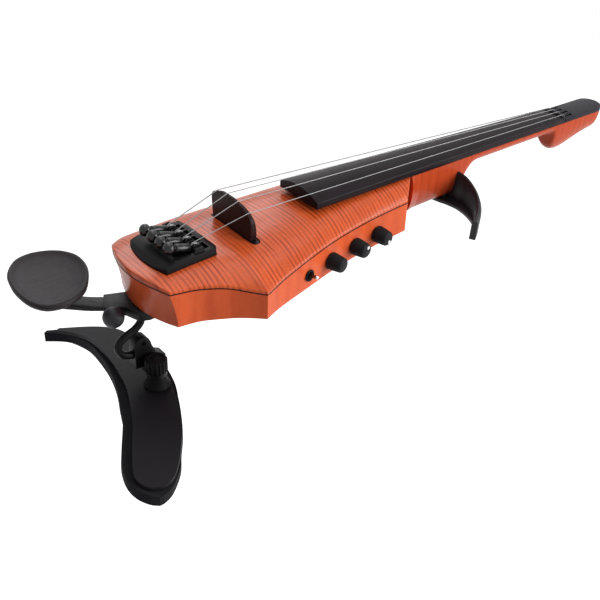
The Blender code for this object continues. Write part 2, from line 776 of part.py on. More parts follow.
def tuner_block():
    """The block let into the top: a low bowed tail, a flat top and a trough for each tuner."""
    low = TOP_HEIGHT - TUNER_DEPTH
    obj = node("tuner_block", prism(tuner_outline(), low, TOP_HEIGHT + 13.6 * MM), BLACK, 0.35)
    tail = [(-80, -0.4), (-75.4, 0.0), (-70, 2.4), (-65, 4.0), (-60, 4.8)]
    front = [(-31, 4.8), (-27.5, 2.8), (-20, 1.6), (-20, 24), (-80, 24)]
    bearings = [(-47, 4.8), (-45.8, 8.0), (-39.4, 8.0), (-38.2, 4.8)]
    over = side_prism([(x * MM, TOP_HEIGHT + z * MM) for x, z in tail + bearings + front], -40 * MM, 40 * MM)
    cut(obj, node("cut_tuner_roof", over, BLACK))
    for side in (-1, 1):
        y0, y1 = sorted((side * 21.2 * MM, side * 40 * MM))
        beside = box(-50 * MM, -36 * MM, y0, y1, TOP_HEIGHT + 4.8 * MM, OVER_ALL)
        cut(obj, node(f"cut_tuner_side_{side + 1}", beside, BLACK))
    trough_floor = TOP_HEIGHT + 0.8 * MM
    x, z = DRUM_AXIS
    reach = 4.9 * MM
    for i, share in enumerate(ACROSS):
        y = share * TUNER_SPACING
        trough = box(-60.4 * MM, -33.5 * MM, y - TROUGH_HALF, y + TROUGH_HALF, trough_floor, OVER_ALL)
        cut(obj, node(f"cut_trough_{i}", trough, BLACK))
        axle = cylinder_mesh((x, y - reach, z), (x, y + reach, z), 1.45 * MM, 16)
        cut(obj, node(f"cut_axle_{i}", axle, BLACK))
    return obj


def tuner_knob(i):
    """A round finger knob on the worm barrel that turns one drum, lying along its own axis."""
    along = tuner_direction()
    profile = [(-4.3, 0.0), (-3.9, 2.4), (-2.6, 3.8), (-0.4, 4.5), (1.4, 4.0), (2.9, 2.3)]
    profile += [(4.6, 2.2), (5.0, 3.0), (16.6, 3.0), (16.6, 0.0)]
    mesh = turned([(a * MM, r * MM) for a, r in profile], -along, 14)
    place = (KNOB_CENTRE[0], ACROSS[i] * TUNER_SPACING, KNOB_CENTRE[1])
    return node(f"tuner_knob_{i + 1}", mesh, BLACK, 0.25, location=place)


def string_drum(i):
    """The drum that winds one string, on an axle across the block."""
    barrel = DRUM_RADIUS / MM
    profile = [(-4.75, 0.0), (-4.75, 1.2), (-3.7, 1.2), (-3.7, 4.0), (-3.0, 4.0), (-3.0, barrel)]
    profile += [(3.0, barrel), (3.0, 4.0), (3.7, 4.0), (3.7, 1.2), (4.75, 1.2), (4.75, 0.0)]
    mesh = turned([(a * MM, r * MM) for a, r in profile], (0, 1, 0), 12)
    place = (DRUM_AXIS[0], ACROSS[i] * TUNER_SPACING, DRUM_AXIS[1])
    return node(f"string_drum_{i + 1}", mesh, BLACK, 0.35, location=place)


def winding_gap(path, steps, radius):
    """The least gap between neighbouring loops of a winding, over its points."""
    points = [Vector(p) for p in path]
    apart = [(a - b).length for k, a in enumerate(points) for b in points[k + steps // 2 :]]
    return min(apart) - 2 * radius


def string(i):
    """One string: wound on its drum, over the bridge and the nut, and down into the head plate."""
    radius = STRING_RADII[i]
    y_drum = ACROSS[i] * TUNER_SPACING
    loop = DRUM_RADIUS + radius + 0.12 * MM
    pitch = 2 * radius + 0.45 * MM
    loops = 2
    bridge_point = Vector((0, ACROSS[i] * BRIDGE_SPACING, bridge_string_height(i)))
    rise = (bridge_point.z - DRUM_AXIS[1]) / (0 - DRUM_AXIS[0])
    leave = math.pi / 2 + math.atan(rise)
    path = []
    steps = 24
    start = leave + 2 * math.pi * loops
    for k in range(loops * steps + 1):
        turn = start - 2 * math.pi * k / steps
        y = y_drum + pitch * (k / steps - loops / 2)
        path.append((DRUM_AXIS[0] + loop * math.cos(turn), y, DRUM_AXIS[1] + loop * math.sin(turn)))
    print(f"string_{i + 1} winding: least gap to itself {winding_gap(path, steps, radius) / MM:.2f} mm")
    last = Vector(path[-1])
    for share in (0.5, 0.94, 1.0):
        path.append(tuple(last.lerp(bridge_point, share)))
    nut_point = Vector((STRING_LENGTH + 1.5 * MM, ACROSS[i] * NUT_SPACING, nut_string_height(i)))
    for share in (0.02, 0.5, 0.99, 1.0):
        path.append(tuple(bridge_point.lerp(nut_point, share)))
    x, y = anchor_places()[i]
    path.append((STRING_LENGTH + NUT_LENGTH + 0.8 * MM, nut_point.y, nut_point.z - 0.3 * MM))
    path.append((STRING_LENGTH + 9.0 * MM, y, board_floor(x) + 2.0 * MM + radius))
    path.append((x + 0.4 * MM, y, board_floor(x) + 1.6 * MM + radius))
    return node(f"string_{i + 1}", tube(path, radius, 6), STEEL, 0.3, 1.0)


# Controls and what the bay holds


def bay_wall_place(x):
    """The point of the bay's treble wall that a control at x bears on, and its outward direction."""
    place, out = edge_frame(TREBLE_EDGE, x, -1)
    return place - out * (WALL_AT_CONTROLS + GAP), out


def pot(i):
    """A control's body inside the bay, its threaded neck and its shaft out through the side."""
    place, out = bay_wall_place(POT_PLACES[i])
    depth = WALL_AT_CONTROLS + GAP
    neck_radius = CONTROL_HOLE - GAP
    shaft_end = depth + 8.0 * MM
    profile = [(-8.5 * MM, 0.0), (-8.5 * MM, 7.8 * MM), (0.0, 7.8 * MM), (0.0, neck_radius)]
    profile += [(depth, neck_radius), (depth, SHAFT_RADIUS), (shaft_end, SHAFT_RADIUS), (shaft_end, 0.0)]
    return node(f"control_pot_{i + 1}", turned(profile, out, 14), STEEL, 0.35, 1.0, location=place)


def control_knob(i):
    """A skirted knob that turns one control, its origin on its axis."""
    place, out = edge_frame(TREBLE_EDGE, POT_PLACES[i], -1)
    profile = [(0.8, 6.6), (1.6, 6.8), (11.2, 5.6), (12.2, 4.9)]
    mesh = turned([(a * MM, r * MM) for a, r in profile], out, 24)
    obj = node(f"control_knob_{i + 1}", mesh, BLACK, 0.3, location=place)
    bore = cylinder_mesh(place - out * 2 * MM, place + out * 8.6 * MM, SHAFT_RADIUS + GAP, 16)
    cut(obj, node(f"cut_knob_{i}", bore, BLACK))
    return obj


def toggle_switch():
    """The selector switch: body in the bay, neck through the side and a dished washer outside."""
    place, out = bay_wall_place(TOGGLE_X)
    depth = WALL_AT_CONTROLS + GAP
    neck_radius = CONTROL_HOLE - GAP
    profile = [(-9.0 * MM, 0.0), (-9.0 * MM, 5.5 * MM), (0.0, 5.5 * MM), (0.0, neck_radius)]
    profile += [(depth + 0.5 * MM, neck_radius), (depth + 0.5 * MM, 4.6 * MM), (depth + 2.0 * MM, 4.2 * MM)]
    profile += [(depth + 2.0 * MM, 2.6 * MM), (depth - 4.0 * MM, 2.0 * MM), (depth - 4.0 * MM, 0.0)]
    return node("toggle_switch", turned(profile, out, 14), BLACK, 0.4, location=place)


def toggle_lever():
    """The lever of the selector switch, its pivot at the object's origin."""
    place, out = edge_frame(TREBLE_EDGE, TOGGLE_X, -1)
    profile = [(-1.4, 0.0), (-1.2, 1.1), (1.5, 0.9), (6.8, 1.15), (8.6, 1.5), (9.6, 1.2), (9.9, 0.0)]
    lean = out + Vector((0.0, 0.0, 0.12))
    mesh = turned([(a * MM, r * MM) for a, r in profile], lean, 12)
    return node("toggle_lever", mesh, BLACK, 0.3, location=place - out * 1.6 * MM)


def rear_cover():
    """The flat cover of the control bay, flush with the back."""
    obj = node("rear_cover", prism(cover_outline(), 0.0, COVER_THICKNESS), BLACK, 0.45)
    for i, (x, y) in enumerate(cover_screw_places()):
        hole = cylinder_mesh((x, y, -1 * MM), (x, y, 5 * MM), COVER_SCREW_RADIUS + GAP, 12)
        cut(obj, node(f"cut_lid_{i}", hole, BLACK))
        recess = cylinder_mesh((x, y, -1 * MM), (x, y, COVER_SCREW_SEAT), COVER_SCREW_HEAD + GAP, 12)
        cut(obj, node(f"cut_lid_recess_{i}", recess, BLACK))
    return obj


def screw(name, place, head_radius, head_height, shank_radius, length):
    """A screw from below: its head under the surface at place, its shank going up."""
    profile = [(-head_height, 0.0), (-head_height, head_radius * 0.8), (-head_height * 0.5, head_radius)]
    profile += [(-GAP, head_radius), (-GAP, shank_radius), (length, shank_radius), (length, 0.0)]
    return node(name, turned(profile, (0, 0, 1), 8), STEEL, 0.35, 1.0, location=place)


def preamp_board():
    """The circuit board in the bay, with a row of chips."""
    obj = node("preamp_board", box(46 * MM, 118 * MM, -15 * MM, -2 * MM, 5 * MM, 6.6 * MM), BOARD_GREEN, 0.5)
    for i, x in enumerate((54, 68, 82, 98, 110)):
        chip = box((x - 4) * MM, (x + 4) * MM, -11.5 * MM, -5.5 * MM, 6.0 * MM, 9.4 * MM)
        join(obj, node(f"add_chip_{i}", chip, BLACK))
    return obj


def battery():
    """A nine-volt battery lying in the bay."""
    mesh = box(30 * MM, 78 * MM, 1 * MM, 18 * MM, 2.6 * MM, 18.6 * MM)
    return soften(node("battery", mesh, STEEL, 0.4), 1.0 * MM)


def jack_seat():
    """The centre of the flat seat that the output socket's flange lies on."""
    return edge_frame(BASS_EDGE, JACK_X, 1)[0] - Vector((0, 1.1 * MM, 0))


def output_jack():
    """The output socket in the bass side, open at its outer end."""
    bore = 3.4 * MM
    profile = [(-26 * MM, 0.0), (-26 * MM, JACK_RADIUS), (GAP, JACK_RADIUS), (GAP, JACK_FLANGE)]
    profile += [(1.6 * MM, JACK_FLANGE), (2.2 * MM, JACK_FLANGE - 0.8 * MM), (2.2 * MM, bore)]
    profile += [(-20 * MM, bore), (-20 * MM, 0.0)]
    mesh = turned(profile, (0, 1, 0), 16)
    return node("output_jack", mesh, STEEL, 0.3, 1.0, location=jack_seat())


# Body rest under the heel


REST_OUTER = [
    (218, 12), (218, -8), (217.5, -17.6), (217.2, -27.5), (213, -40.5), (205.5, -53), (195.2, -64),
    (183, -72.3),
]
REST_INNER = [
    (201, 12), (203.5, -8), (206, -18), (207, -28), (205, -39.5), (200, -51.5), (192.5, -61.5),
    (181.5, -70.6),
]
REST_WALL = (24.5, 24.5, 24.0, 20.0, 15.8, 12.4, 8.8, 1.2)


def bracket_screw_places():
    return [(208 * MM, 5.5 * MM), (208 * MM, -5.5 * MM)]


def body_rest():
    """A crescent: a flange under the heel and a curved wall that falls away to a round tip."""
    outer = smooth(REST_OUTER, 3)
    inner = smooth(REST_INNER, 3)
    wall_top = smooth(list(enumerate(REST_WALL)), 3)
    flange = prism([(p.x * MM, p.y * MM) for p in outer + inner[::-1]], -3.4 * MM, -GAP)
    obj = node("body_rest", flange, BLACK, 0.35)
    rings = []
    for k in range(6, len(outer)):
        p = outer[k]
        ahead = outer[min(k + 1, len(outer) - 1)] - outer[k - 1]
        inward = Vector((ahead.y, -ahead.x)).normalized()
        if inward.x > 0:
            inward = -inward
        thick = 3.0 if k < len(outer) - 3 else 2.0
        q = p + inward * thick
        high = max(wall_top[k].y, 0.6)
        lean = 0.05 * high
        rings.append([
            (p.x * MM, p.y * MM, -3.0 * MM),
            ((p.x + lean * -inward.x) * MM, (p.y + lean * -inward.y) * MM, high * MM),
            ((q.x + lean * -inward.x) * MM, (q.y + lean * -inward.y) * MM, high * MM),
            (q.x * MM, q.y * MM, -3.0 * MM),
        ])
    join(obj, node("add_wall", loft(rings), BLACK))
    for i, (x, y) in enumerate(bracket_screw_places()):
        hole = cylinder_mesh((x, y, -9 * MM), (x, y, 5 * MM), 1.5 * MM + GAP, 16)
        cut(obj, node(f"cut_rest_{i}", hole, BLACK))
    return obj


# Chin rest and its mounting


def mount_screw_places():
    return [(-66 * MM, 10 * MM), (-66 * MM, -2 * MM)]


def arm_outline():
    """The flat arm from above: a round end at its pivot, then out under the chin rest."""
    centre = smooth([ARM_PIVOT] + ARM_LINE, 3)
    left = []
    right = []
    for k, p in enumerate(centre):
        ahead = (centre[min(k + 1, len(centre) - 1)] - centre[max(k - 1, 0)]).normalized()
        side = Vector((-ahead.y, ahead.x)) * ARM_HALF
        left.append((p.x + side.x, p.y + side.y))
        right.append((p.x - side.x, p.y - side.y))
    ahead = (centre[1] - centre[0]).normalized()
    return left + right[::-1] + arm_end(ahead, ARM_HALF)


def arm_end(ahead, radius):
    """Points of the round end of the arm, behind its pivot, from the right side to the left."""
    side = Vector((-ahead.y, ahead.x))
    pivot = Vector(ARM_PIVOT)
    turns = [math.pi * k / 8 for k in range(1, 8)]
    points = [pivot - (side * math.cos(t) + ahead * math.sin(t)) * radius for t in turns]
    return [(p.x, p.y) for p in points]


def arm_slot():
    """The room in the mounting plate for the arm and its swing to both sides."""
    pivot = Vector(ARM_PIVOT)
    ahead = (Vector(ARM_LINE[0]) - pivot).normalized()
    side = Vector((-ahead.y, ahead.x))
    radius = ARM_HALF + GAP
    far = 30 * MM
    wide = radius / math.cos(ARM_SWING) + far * math.tan(ARM_SWING)
    points = [pivot + side * radius, pivot + ahead * far + side * wide, pivot + ahead * far - side * wide]
    points.append(pivot - side * radius)
    return [(p.x, p.y) for p in points] + arm_end(ahead, radius)


def clamp_line():
    """The clamp screw's line: where it would meet the arm's pivot, and its direction out to the knob."""
    start = Vector((*ARM_PIVOT, (ARM_LOW + ARM_HIGH) / 2))
    return start, Vector((math.cos(CLAMP_HEADING), math.sin(CLAMP_HEADING), 0.0))


def mounting_plate():
    """The plate under the tail that holds the arm of the chin rest and the rod of the shoulder rest."""
    places = [(-56, 16), (-79, 22.5), (-92.5, 28), (-101, 13), (-88, 5.6), (-84, -6), (-77, -9), (-56, -9)]
    outline = [(x * MM, y * MM) for x, y in places]
    obj = node("mounting_plate", prism(outline, MOUNT_BOTTOM, MOUNT_TOP), BLACK, 0.4)
    soften(obj, 0.7 * MM, 1)
    cut(obj, node("cut_arm", prism(arm_slot(), ARM_LOW - GAP, ARM_HIGH + GAP), BLACK))
    below = -20 * MM
    x, y = REST_ROD_PLACE
    rod_hole = cylinder_mesh((x, y, below), (x, y, -1.8 * MM), REST_ROD_RADIUS + GAP, 24)
    cut(obj, node("cut_rod", rod_hole, BLACK))
    pivot, out = clamp_line()
    screw_hole = cylinder_mesh(pivot, pivot + out * CLAMP_REACH, CLAMP_SCREW_RADIUS + GAP, 24)
    cut(obj, node("cut_clamp", screw_hole, BLACK))
    for i, (x, y) in enumerate(mount_screw_places()):
        hole = cylinder_mesh((x, y, below), (x, y, 5 * MM), 1.6 * MM + GAP, 16)
        cut(obj, node(f"cut_plate_{i}", hole, BLACK))
    return obj


def clamp_knob():
    """The round knob at the plate's side, whose screw presses on the arm beside its pivot."""
    pivot, out = clamp_line()
    radius = CLAMP_KNOB_RADIUS
    seat = CLAMP_REACH - CLAMP_FACE - GAP
    end = CLAMP_REACH - ARM_HALF - 0.5 * MM
    profile = [(-radius * math.cos(math.pi * i / 8), radius * math.sin(math.pi * i / 8)) for i in range(6)]
    profile += [(seat, math.sqrt(radius**2 - seat**2)), (seat, CLAMP_SCREW_RADIUS), (end, CLAMP_SCREW_RADIUS)]
    profile.append((end, 0.0))
    return node("clamp_knob", turned(profile, -out, 18), BLACK, 0.25, location=pivot + out * CLAMP_REACH)


def rest_arm():
    """The flat arm and the short post that carries the chin rest."""
    obj = node("rest_arm", prism(arm_outline(), ARM_LOW, ARM_HIGH), BLACK, 0.4)
    post = cylinder_mesh((-117 * MM, 41 * MM, -4 * MM), (-117 * MM, 41 * MM, 15.2 * MM), 6.0 * MM, 28)
    join(obj, node("add_post", post, BLACK))
    return obj


def chin_outline(share):
    """A ring of the chin rest: its edge, drawn in toward the centre."""
    turns = len(CHIN_EDGE)
    closed = smooth([CHIN_EDGE[-1]] + CHIN_EDGE + CHIN_EDGE[:2], 2)[2 : 2 + 2 * turns]
    ring = []
    for p in closed:
        x = CHIN_CENTRE[0] + (p.x * MM - CHIN_CENTRE[0]) * share
        ring.append((x, CHIN_CENTRE[1] + (p.y * MM - CHIN_CENTRE[1]) * share))
    return ring


def chin_rest():
    """A dished plate with a round rim."""
    levels = [(0.03, 7.6), (0.5, 8.0), (0.86, 6.6), (0.965, 4.8), (1.0, 2.6), (0.985, 0.8), (0.95, 0.0)]
    levels += [(0.90, 0.3), (0.78, 1.6), (0.45, 3.0), (0.03, 3.4)]
    rings = [[(x, y, CHIN_TOP - depth * MM) for x, y in chin_outline(share)] for share, depth in levels]
    obj = node("chin_rest", loft(rings), EBONY, 0.5)
    socket = cylinder_mesh((-117 * MM, 41 * MM, 0.0), (-117 * MM, 41 * MM, 15.5 * MM), 6.0 * MM + GAP, 28)
    cut(obj, node("cut_socket", socket, EBONY))
    return obj


# Shoulder rest and its clamp


def rest_rod():
    """The bent rod from the mounting plate down to the clamp, in a plane of its own."""
    x, y = REST_ROD_PLACE
    places = [(-80.4, -2.4), (-80.4, -8.0), (-81.6, -12.4), (-86.2, -16.2), (-92.4, -18.6), (-97.4, -21.4)]
    places += [(-100.2, -25.4), (-99.6, -30.0), (-96.4, -34.0), (-91.6, -36.4), (-86.5, -37.0)]
    places += [(-80.5, -37.0)]
    path = [(p.x * MM, y, p.y * MM) for p in smooth(places, 3)]
    return node("rest_rod", tube(path, REST_ROD_RADIUS, 8), BLACK, 0.35)


def rod_clamp():
    """The clamp: an upright lug that grips the rod and an eye that sits on the base's stem."""
    y = REST_ROD_PLACE[1]
    lug = [(-89.5, -47.5), (-64.8, -47.5), (-64.8, -43.9), (-71.6, -40.4), (-75.6, -31.5), (-76.6, -27.6)]
    lug += [(-78.4, -24.4), (-81.2, -22.7), (-84.6, -22.6), (-87.4, -24.2), (-88.9, -27.4), (-89.5, -34.0)]
    half = 4.6 * MM
    mesh = side_prism([(a * MM, b * MM) for a, b in lug], y - half, y + half)
    obj = soften(node("rod_clamp", mesh, BLACK, 0.35), 0.6 * MM, 1)
    wx, wy = WHEEL_PLACE
    eye_low = -50.6 * MM
    eye_high = -47.0 * MM
    eye = cylinder_mesh((wx, wy, eye_low), (wx, wy, eye_high), 7.4 * MM, 32)
    join(obj, node("add_eye", eye, BLACK))
    join(obj, node("add_bridge", box(-84 * MM, -70 * MM, wy, y, eye_low, eye_high), BLACK))
    stem_hole = cylinder_mesh((wx, wy, -60 * MM), (wx, wy, -30 * MM), STEM_RADIUS + GAP, 24)
    cut(obj, node("cut_eye", stem_hole, BLACK))
    rod_hole = cylinder_mesh((-95 * MM, y, -37 * MM), (-80.0 * MM, y, -37 * MM), REST_ROD_RADIUS + GAP, 24)
    cut(obj, node("cut_rod_end", rod_hole, BLACK))
    through = half + 2 * MM
    low = (-82 * MM, y - through, -27.4 * MM)
    high = (-82 * MM, y + through, -27.4 * MM)
    cut(obj, node("cut_lug_screw", cylinder_mesh(low, high, 1.7 * MM, 20), BLACK))
    return obj


def thumb_wheel():
    """The ribbed wheel that tightens the clamp on the base's stem."""
    wx, wy = WHEEL_PLACE
    rings = []
    low = -46.6 * MM
    for z, share in ((low, 0.93), (low + 0.6 * MM, 1.0), (WHEEL_TOP - 0.9 * MM, 1.0), (WHEEL_TOP, 0.88)):
        ring = []
        for k in range(48):
            turn = 2 * math.pi * k / 48
            radius = (WHEEL_RADIUS + 0.3 * MM * math.cos(12 * turn)) * share
            ring.append((wx + radius * math.cos(turn), wy + radius * math.sin(turn), z))
        rings.append(ring)
    obj = node("thumb_wheel", loft(rings), BLACK, 0.35)
    bore = cylinder_mesh((wx, wy, -60 * MM), (wx, wy, -41.5 * MM), STEM_RADIUS + GAP, 24)
    cut(obj, node("cut_wheel", bore, BLACK))
    return obj


def shoulder_height(y):
    """Height of the shoulder plate's upper face, lower toward its ends."""
    return SHOULDER_TOP - SHOULDER_ARCH * y * y


def clamp_base():
    """The round boss on the shoulder plate and the stem that the clamp turns on."""
    boss = [(-59.6, 0.0), (-59.6, 9.6), (-58.6, 9.0), (-57.6, 7.0), (-51.2, 6.2)]
    profile = [(a * MM, r * MM) for a, r in boss]
    profile += [(-51.2 * MM, STEM_RADIUS), (-42.6 * MM, STEM_RADIUS), (-42.6 * MM, 0.0)]
    mesh = turned(profile, (0, 0, 1), 20)
    return node("clamp_base", mesh, BLACK, 0.35, location=(*WHEEL_PLACE, 0))


def banana(inner, outer, high, low, across=4):
    """A closed curved plate between two edges seen from above, which follows the arch of the rest."""
    lower = []
    upper = []
    for left, right in zip(smooth(inner, 2), smooth(outer, 2)):
        ends = [left.lerp(right, k / across) * MM for k in range(across + 1)]
        upper.append([(p.x, p.y, shoulder_height(p.y) - high) for p in ends])
        lower.append([(p.x, p.y, shoulder_height(p.y) - low) for p in ends])
    return slab(lower, upper)


def shoulder_plate():
    """The stiff arched plate of the shoulder rest."""
    obj = node("shoulder_plate", banana(PLATE_INNER, PLATE_OUTER, 0.0, PLATE_THICKNESS), SATIN, 0.4)
    return soften(obj, 0.5 * MM, 1, 50)


def shoulder_pad():
    """The foam pad under the plate, a little wider than it."""
    high = PLATE_THICKNESS + GAP
    obj = node("shoulder_pad", banana(PAD_INNER, PAD_OUTER, high, high + PAD_THICKNESS), BLACK, 0.9)
    return soften(obj, 1.6 * MM, 2, 50)


def build():
    clear_scene()
    body()
    dark_line()
    top_plate()
    neck()
    fingerboard()
    nut()
    head_plate()
    bridge_base()
    bridge()
    tuner_block()
    for i in range(4):
        tuner_knob(i)
        string_drum(i)
        string(i)
    for i in range(3):
        pot(i)
        control_knob(i)
    toggle_switch()
    toggle_lever()
    rear_cover()
    for i, (x, y) in enumerate(cover_screw_places()):
        seat = (x, y, COVER_SCREW_SEAT)
        screw(f"cover_screw_{i + 1}", seat, COVER_SCREW_HEAD, 1.3 * MM, COVER_SCREW_RADIUS, 8.5 * MM)
    preamp_board()
    battery()
    output_jack()
    body_rest()
    for i, (x, y) in enumerate(bracket_screw_places()):
        screw(f"body_rest_screw_{i + 1}", (x, y, -3.4 * MM), 2.8 * MM, 1.2 * MM, 1.5 * MM, 12 * MM)
    mounting_plate()
    for i, (x, y) in enumerate(mount_screw_places()):
        screw(f"mount_screw_{i + 1}", (x, y, MOUNT_BOTTOM), 3.0 * MM, 1.4 * MM, 1.6 * MM, 19.5 * MM)
    rest_arm()
    clamp_knob()
    chin_rest()
    rest_rod()
    rod_clamp()
    thumb_wheel()
    clamp_base()
    shoulder_plate()
    shoulder_pad()
    for obj in bpy.data.objects:
        obj.location.x -= COVER_CENTRE


build()
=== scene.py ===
"""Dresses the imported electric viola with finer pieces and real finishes, and lights it.

Shapes are worked out in millimetres counted from the bridge, +X to the head, +Y to the bass side and
+Z out of the top. Each finished mesh is then put in metres into the row frame.
"""

import logging
import math
from dataclasses import dataclass
from enum import Enum
from typing import Callable, Sequence

import bmesh
import bpy
import numpy as np
from mathutils import Matrix, Vector


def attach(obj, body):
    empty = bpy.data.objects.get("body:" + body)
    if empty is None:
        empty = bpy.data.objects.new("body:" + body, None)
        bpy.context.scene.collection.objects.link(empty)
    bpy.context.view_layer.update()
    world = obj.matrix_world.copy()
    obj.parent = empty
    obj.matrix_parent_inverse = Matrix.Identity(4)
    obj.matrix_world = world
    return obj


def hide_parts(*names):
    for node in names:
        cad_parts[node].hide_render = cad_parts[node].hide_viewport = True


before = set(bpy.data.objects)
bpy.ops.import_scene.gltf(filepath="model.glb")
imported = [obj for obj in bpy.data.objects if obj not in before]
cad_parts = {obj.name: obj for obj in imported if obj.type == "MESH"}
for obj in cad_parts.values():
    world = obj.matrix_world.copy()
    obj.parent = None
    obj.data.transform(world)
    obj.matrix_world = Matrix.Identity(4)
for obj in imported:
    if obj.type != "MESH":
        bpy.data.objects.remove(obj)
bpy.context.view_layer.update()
LOG = logging.getLogger("viola")

Mesh = bmesh.types.BMesh
Socket = bpy.types.NodeSocket
Colour = tuple[float, float, float]
Point = tuple[float, float]

TO_METRES = 0.001
BRIDGE_PLACE = Vector((-73.25, 0.0, 0.0))
ROW_FRAME = Matrix.Scale(TO_METRES, 4) @ Matrix.Translation(BRIDGE_PLACE)
UP = Vector((0.0, 0.0, 1.0))

# Sizes and places that several sub-assemblies share, in millimetres from the bridge
GAP = 0.3
ACROSS = (-1.5, -0.5, 0.5, 1.5)
STRING_RADII = (0.3, 0.33, 0.38, 0.44)
TOGGLE_PLACE = 29.8
KNOB_PLACES = (55.4, 83.4, 109.2)
CONTROL_HEIGHT = 11.0
CONTROL_HOLE = 3.8
TUNER_SIDE = 23.6
BRIDGE_BASE_HALF = 27.0
BRIDGE_BASE_RADIUS = 3.8
HEEL_SCREWS = ((208.0, 5.5), (208.0, -5.5))
TAIL_SCREWS = ((-66.0, 10.0), (-66.0, -2.0))
ROD_SPOT = (-80.4, -2.2)
ROD_RADIUS = 2.8
POST_SPOT = (-117.0, 41.0)
POST_RADIUS = 6.0
OVER_ALL = 60.0


class Side(Enum):
    """The two long sides of the instrument, as the sign of Y."""

    TREBLE = -1
    BASS = 1


class Slot(Enum):
    """The record's material slots."""

    MAPLE = "maple"
    EBONY = "ebony"
    BLACK_METAL = "black_metal"
    BLACK_PLASTIC = "black_plastic"
    BRIGHT_METAL = "bright_metal"
    BOARD = "board"
    CELL_CASE = "cell_case"
    STRING = "string_metal"
    FOAM = "foam"


def tone(red: int, green: int, blue: int) -> Colour:
    """A colour from its 0 to 255 screen values, as the linear values that a shader takes."""
    shares = [value / 255 for value in (red, green, blue)]
    return tuple(s / 12.92 if s < 0.04045 else ((s + 0.055) / 1.055) ** 2.4 for s in shares)


def shaded(colour: Colour, factor: float) -> Colour:
    """A colour made darker or lighter by a factor."""
    return tuple(min(1.0, part * factor) for part in colour)


# Materials


class Recipe:
    """A material being put together, with short calls for the nodes that the finishes share."""

    def __init__(self, name: str) -> None:
        """Starts a material with its principled shader and its object coordinates."""
        self.material = bpy.data.materials.new(name)
        self.material.use_nodes = True
        self.tree = self.material.node_tree
        self.shader = self.tree.nodes["Principled BSDF"]
        self.object_place = self.tree.nodes.new("ShaderNodeTexCoord").outputs["Object"]

    def feed(self, socket: Socket, value: object) -> None:
        """Links an input to another node's output, or sets it.

        Args:
            socket: The input to fill.
            value: An output, a number, or the three parts of a colour or of a scale.
        """
        if isinstance(value, Socket):
            self.tree.links.new(value, socket)
        elif socket.type == "RGBA":
            socket.default_value = (*value, 1.0)
        else:
            socket.default_value = value

    def add(self, kind: str, inputs: dict[str, object]) -> bpy.types.Node:
        """Adds a node and feeds its inputs.

        Args:
            kind: Blender's name for the kind of node.
            inputs: What goes into each input, by name.

        Returns:
            The node.
        """
        node = self.tree.nodes.new(kind)
        for name, value in inputs.items():
            self.feed(node.inputs[name], value)
        return node

    def stretched(self, scale: float | Sequence[float]) -> Socket:
        """Object coordinates scaled evenly or along each axis, in features per metre."""
        scales = scale if isinstance(scale, tuple) else (scale, scale, scale)
        return self.add("ShaderNodeMapping", {"Vector": self.object_place, "Scale": scales}).outputs["Vector"]

    def noise(self, scale: float | Sequence[float], detail: float = 2.0, bend: float = 0.0) -> Socket:
        """Soft noise from 0 to 1, of so many features per metre."""
        inputs = {"Vector": self.stretched(scale), "Scale": 1.0, "Detail": detail, "Distortion": bend}
        return self.add("ShaderNodeTexNoise", inputs).outputs["Fac"]

    def cells(self, scale: float) -> Socket:
        """Distance to the nearest of many scattered points, as in foam."""
        inputs = {"Vector": self.object_place, "Scale": scale}
        return self.add("ShaderNodeTexVoronoi", inputs).outputs["Distance"]

    def ranged(self, value: Socket, start: float, end: float, low: float, high: float) -> Socket:
        """The value from start to end, put into the range low to high."""
        inputs = {"Value": value, "From Min": start, "From Max": end, "To Min": low, "To Max": high}
        return self.add("ShaderNodeMapRange", inputs).outputs["Result"]

    def maths(self, operation: str, first: object, second: object) -> Socket:
        """One sum of two values.

        Args:
            operation: The kind of sum, as Blender's math node names it.
            first: A number or an output.
            second: A number or an output.

        Returns:
            The result.
        """
        node = self.add("ShaderNodeMath", {})
        node.operation = operation
        for socket, value in zip(node.inputs, (first, second)):
            self.feed(socket, value)
        return node.outputs["Value"]

    def ramp(self, value: Socket, *stops: tuple[float, Colour]) -> Socket:
        """Colours along a value.

        Args:
            value: From 0 to 1.
            stops: The place of each colour on the value, and the colour.

        Returns:
            The colour.
        """
        node = self.add("ShaderNodeValToRGB", {"Fac": value})
        elements = node.color_ramp.elements
        while len(elements) < len(stops):
            elements.new(0.5)
        for element, (position, colour) in zip(elements, stops):
            element.position = position
            element.color = (*colour, 1.0)
        return node.outputs["Color"]

    def mixed(self, factor: object, first: object, second: object) -> Socket:
        """One colour laid over another.

        Args:
            factor: How much of the second colour shows, from 0 to 1.
            first: The colour underneath.
            second: The colour laid over it.

        Returns:
            The colour that shows.
        """
        node = self.add("ShaderNodeMix", {})
        node.data_type = "RGBA"
        for socket, value in zip((node.inputs[0], node.inputs[6], node.inputs[7]), (factor, first, second)):
            self.feed(socket, value)
        return node.outputs[2]

    def bump(self, height: Socket, strength: float, distance: float, after: Socket | None = None) -> Socket:
        """A fine relief.

        Args:
            height: The relief's height, from 0 to 1.
            strength: How much of the relief shows.
            distance: The relief's depth in metres.
            after: Another relief that this one is laid over.

        Returns:
            The normal for the shader.
        """
        inputs = {"Height": height, "Strength": strength, "Distance": distance}
        if after is not None:
            inputs["Normal"] = after
        return self.add("ShaderNodeBump", inputs).outputs["Normal"]

    def done(self, **sockets: object) -> bpy.types.Material:
        """Feeds the shader's inputs and gives the material.

        Args:
            sockets: What goes into each input, named with underscores for spaces.

        Returns:
            The finished material.
        """
        for name, value in sockets.items():
            self.feed(self.shader.inputs[name.replace("_", " ")], value)
        return self.material


MADE: dict["Finish", bpy.types.Material] = {}


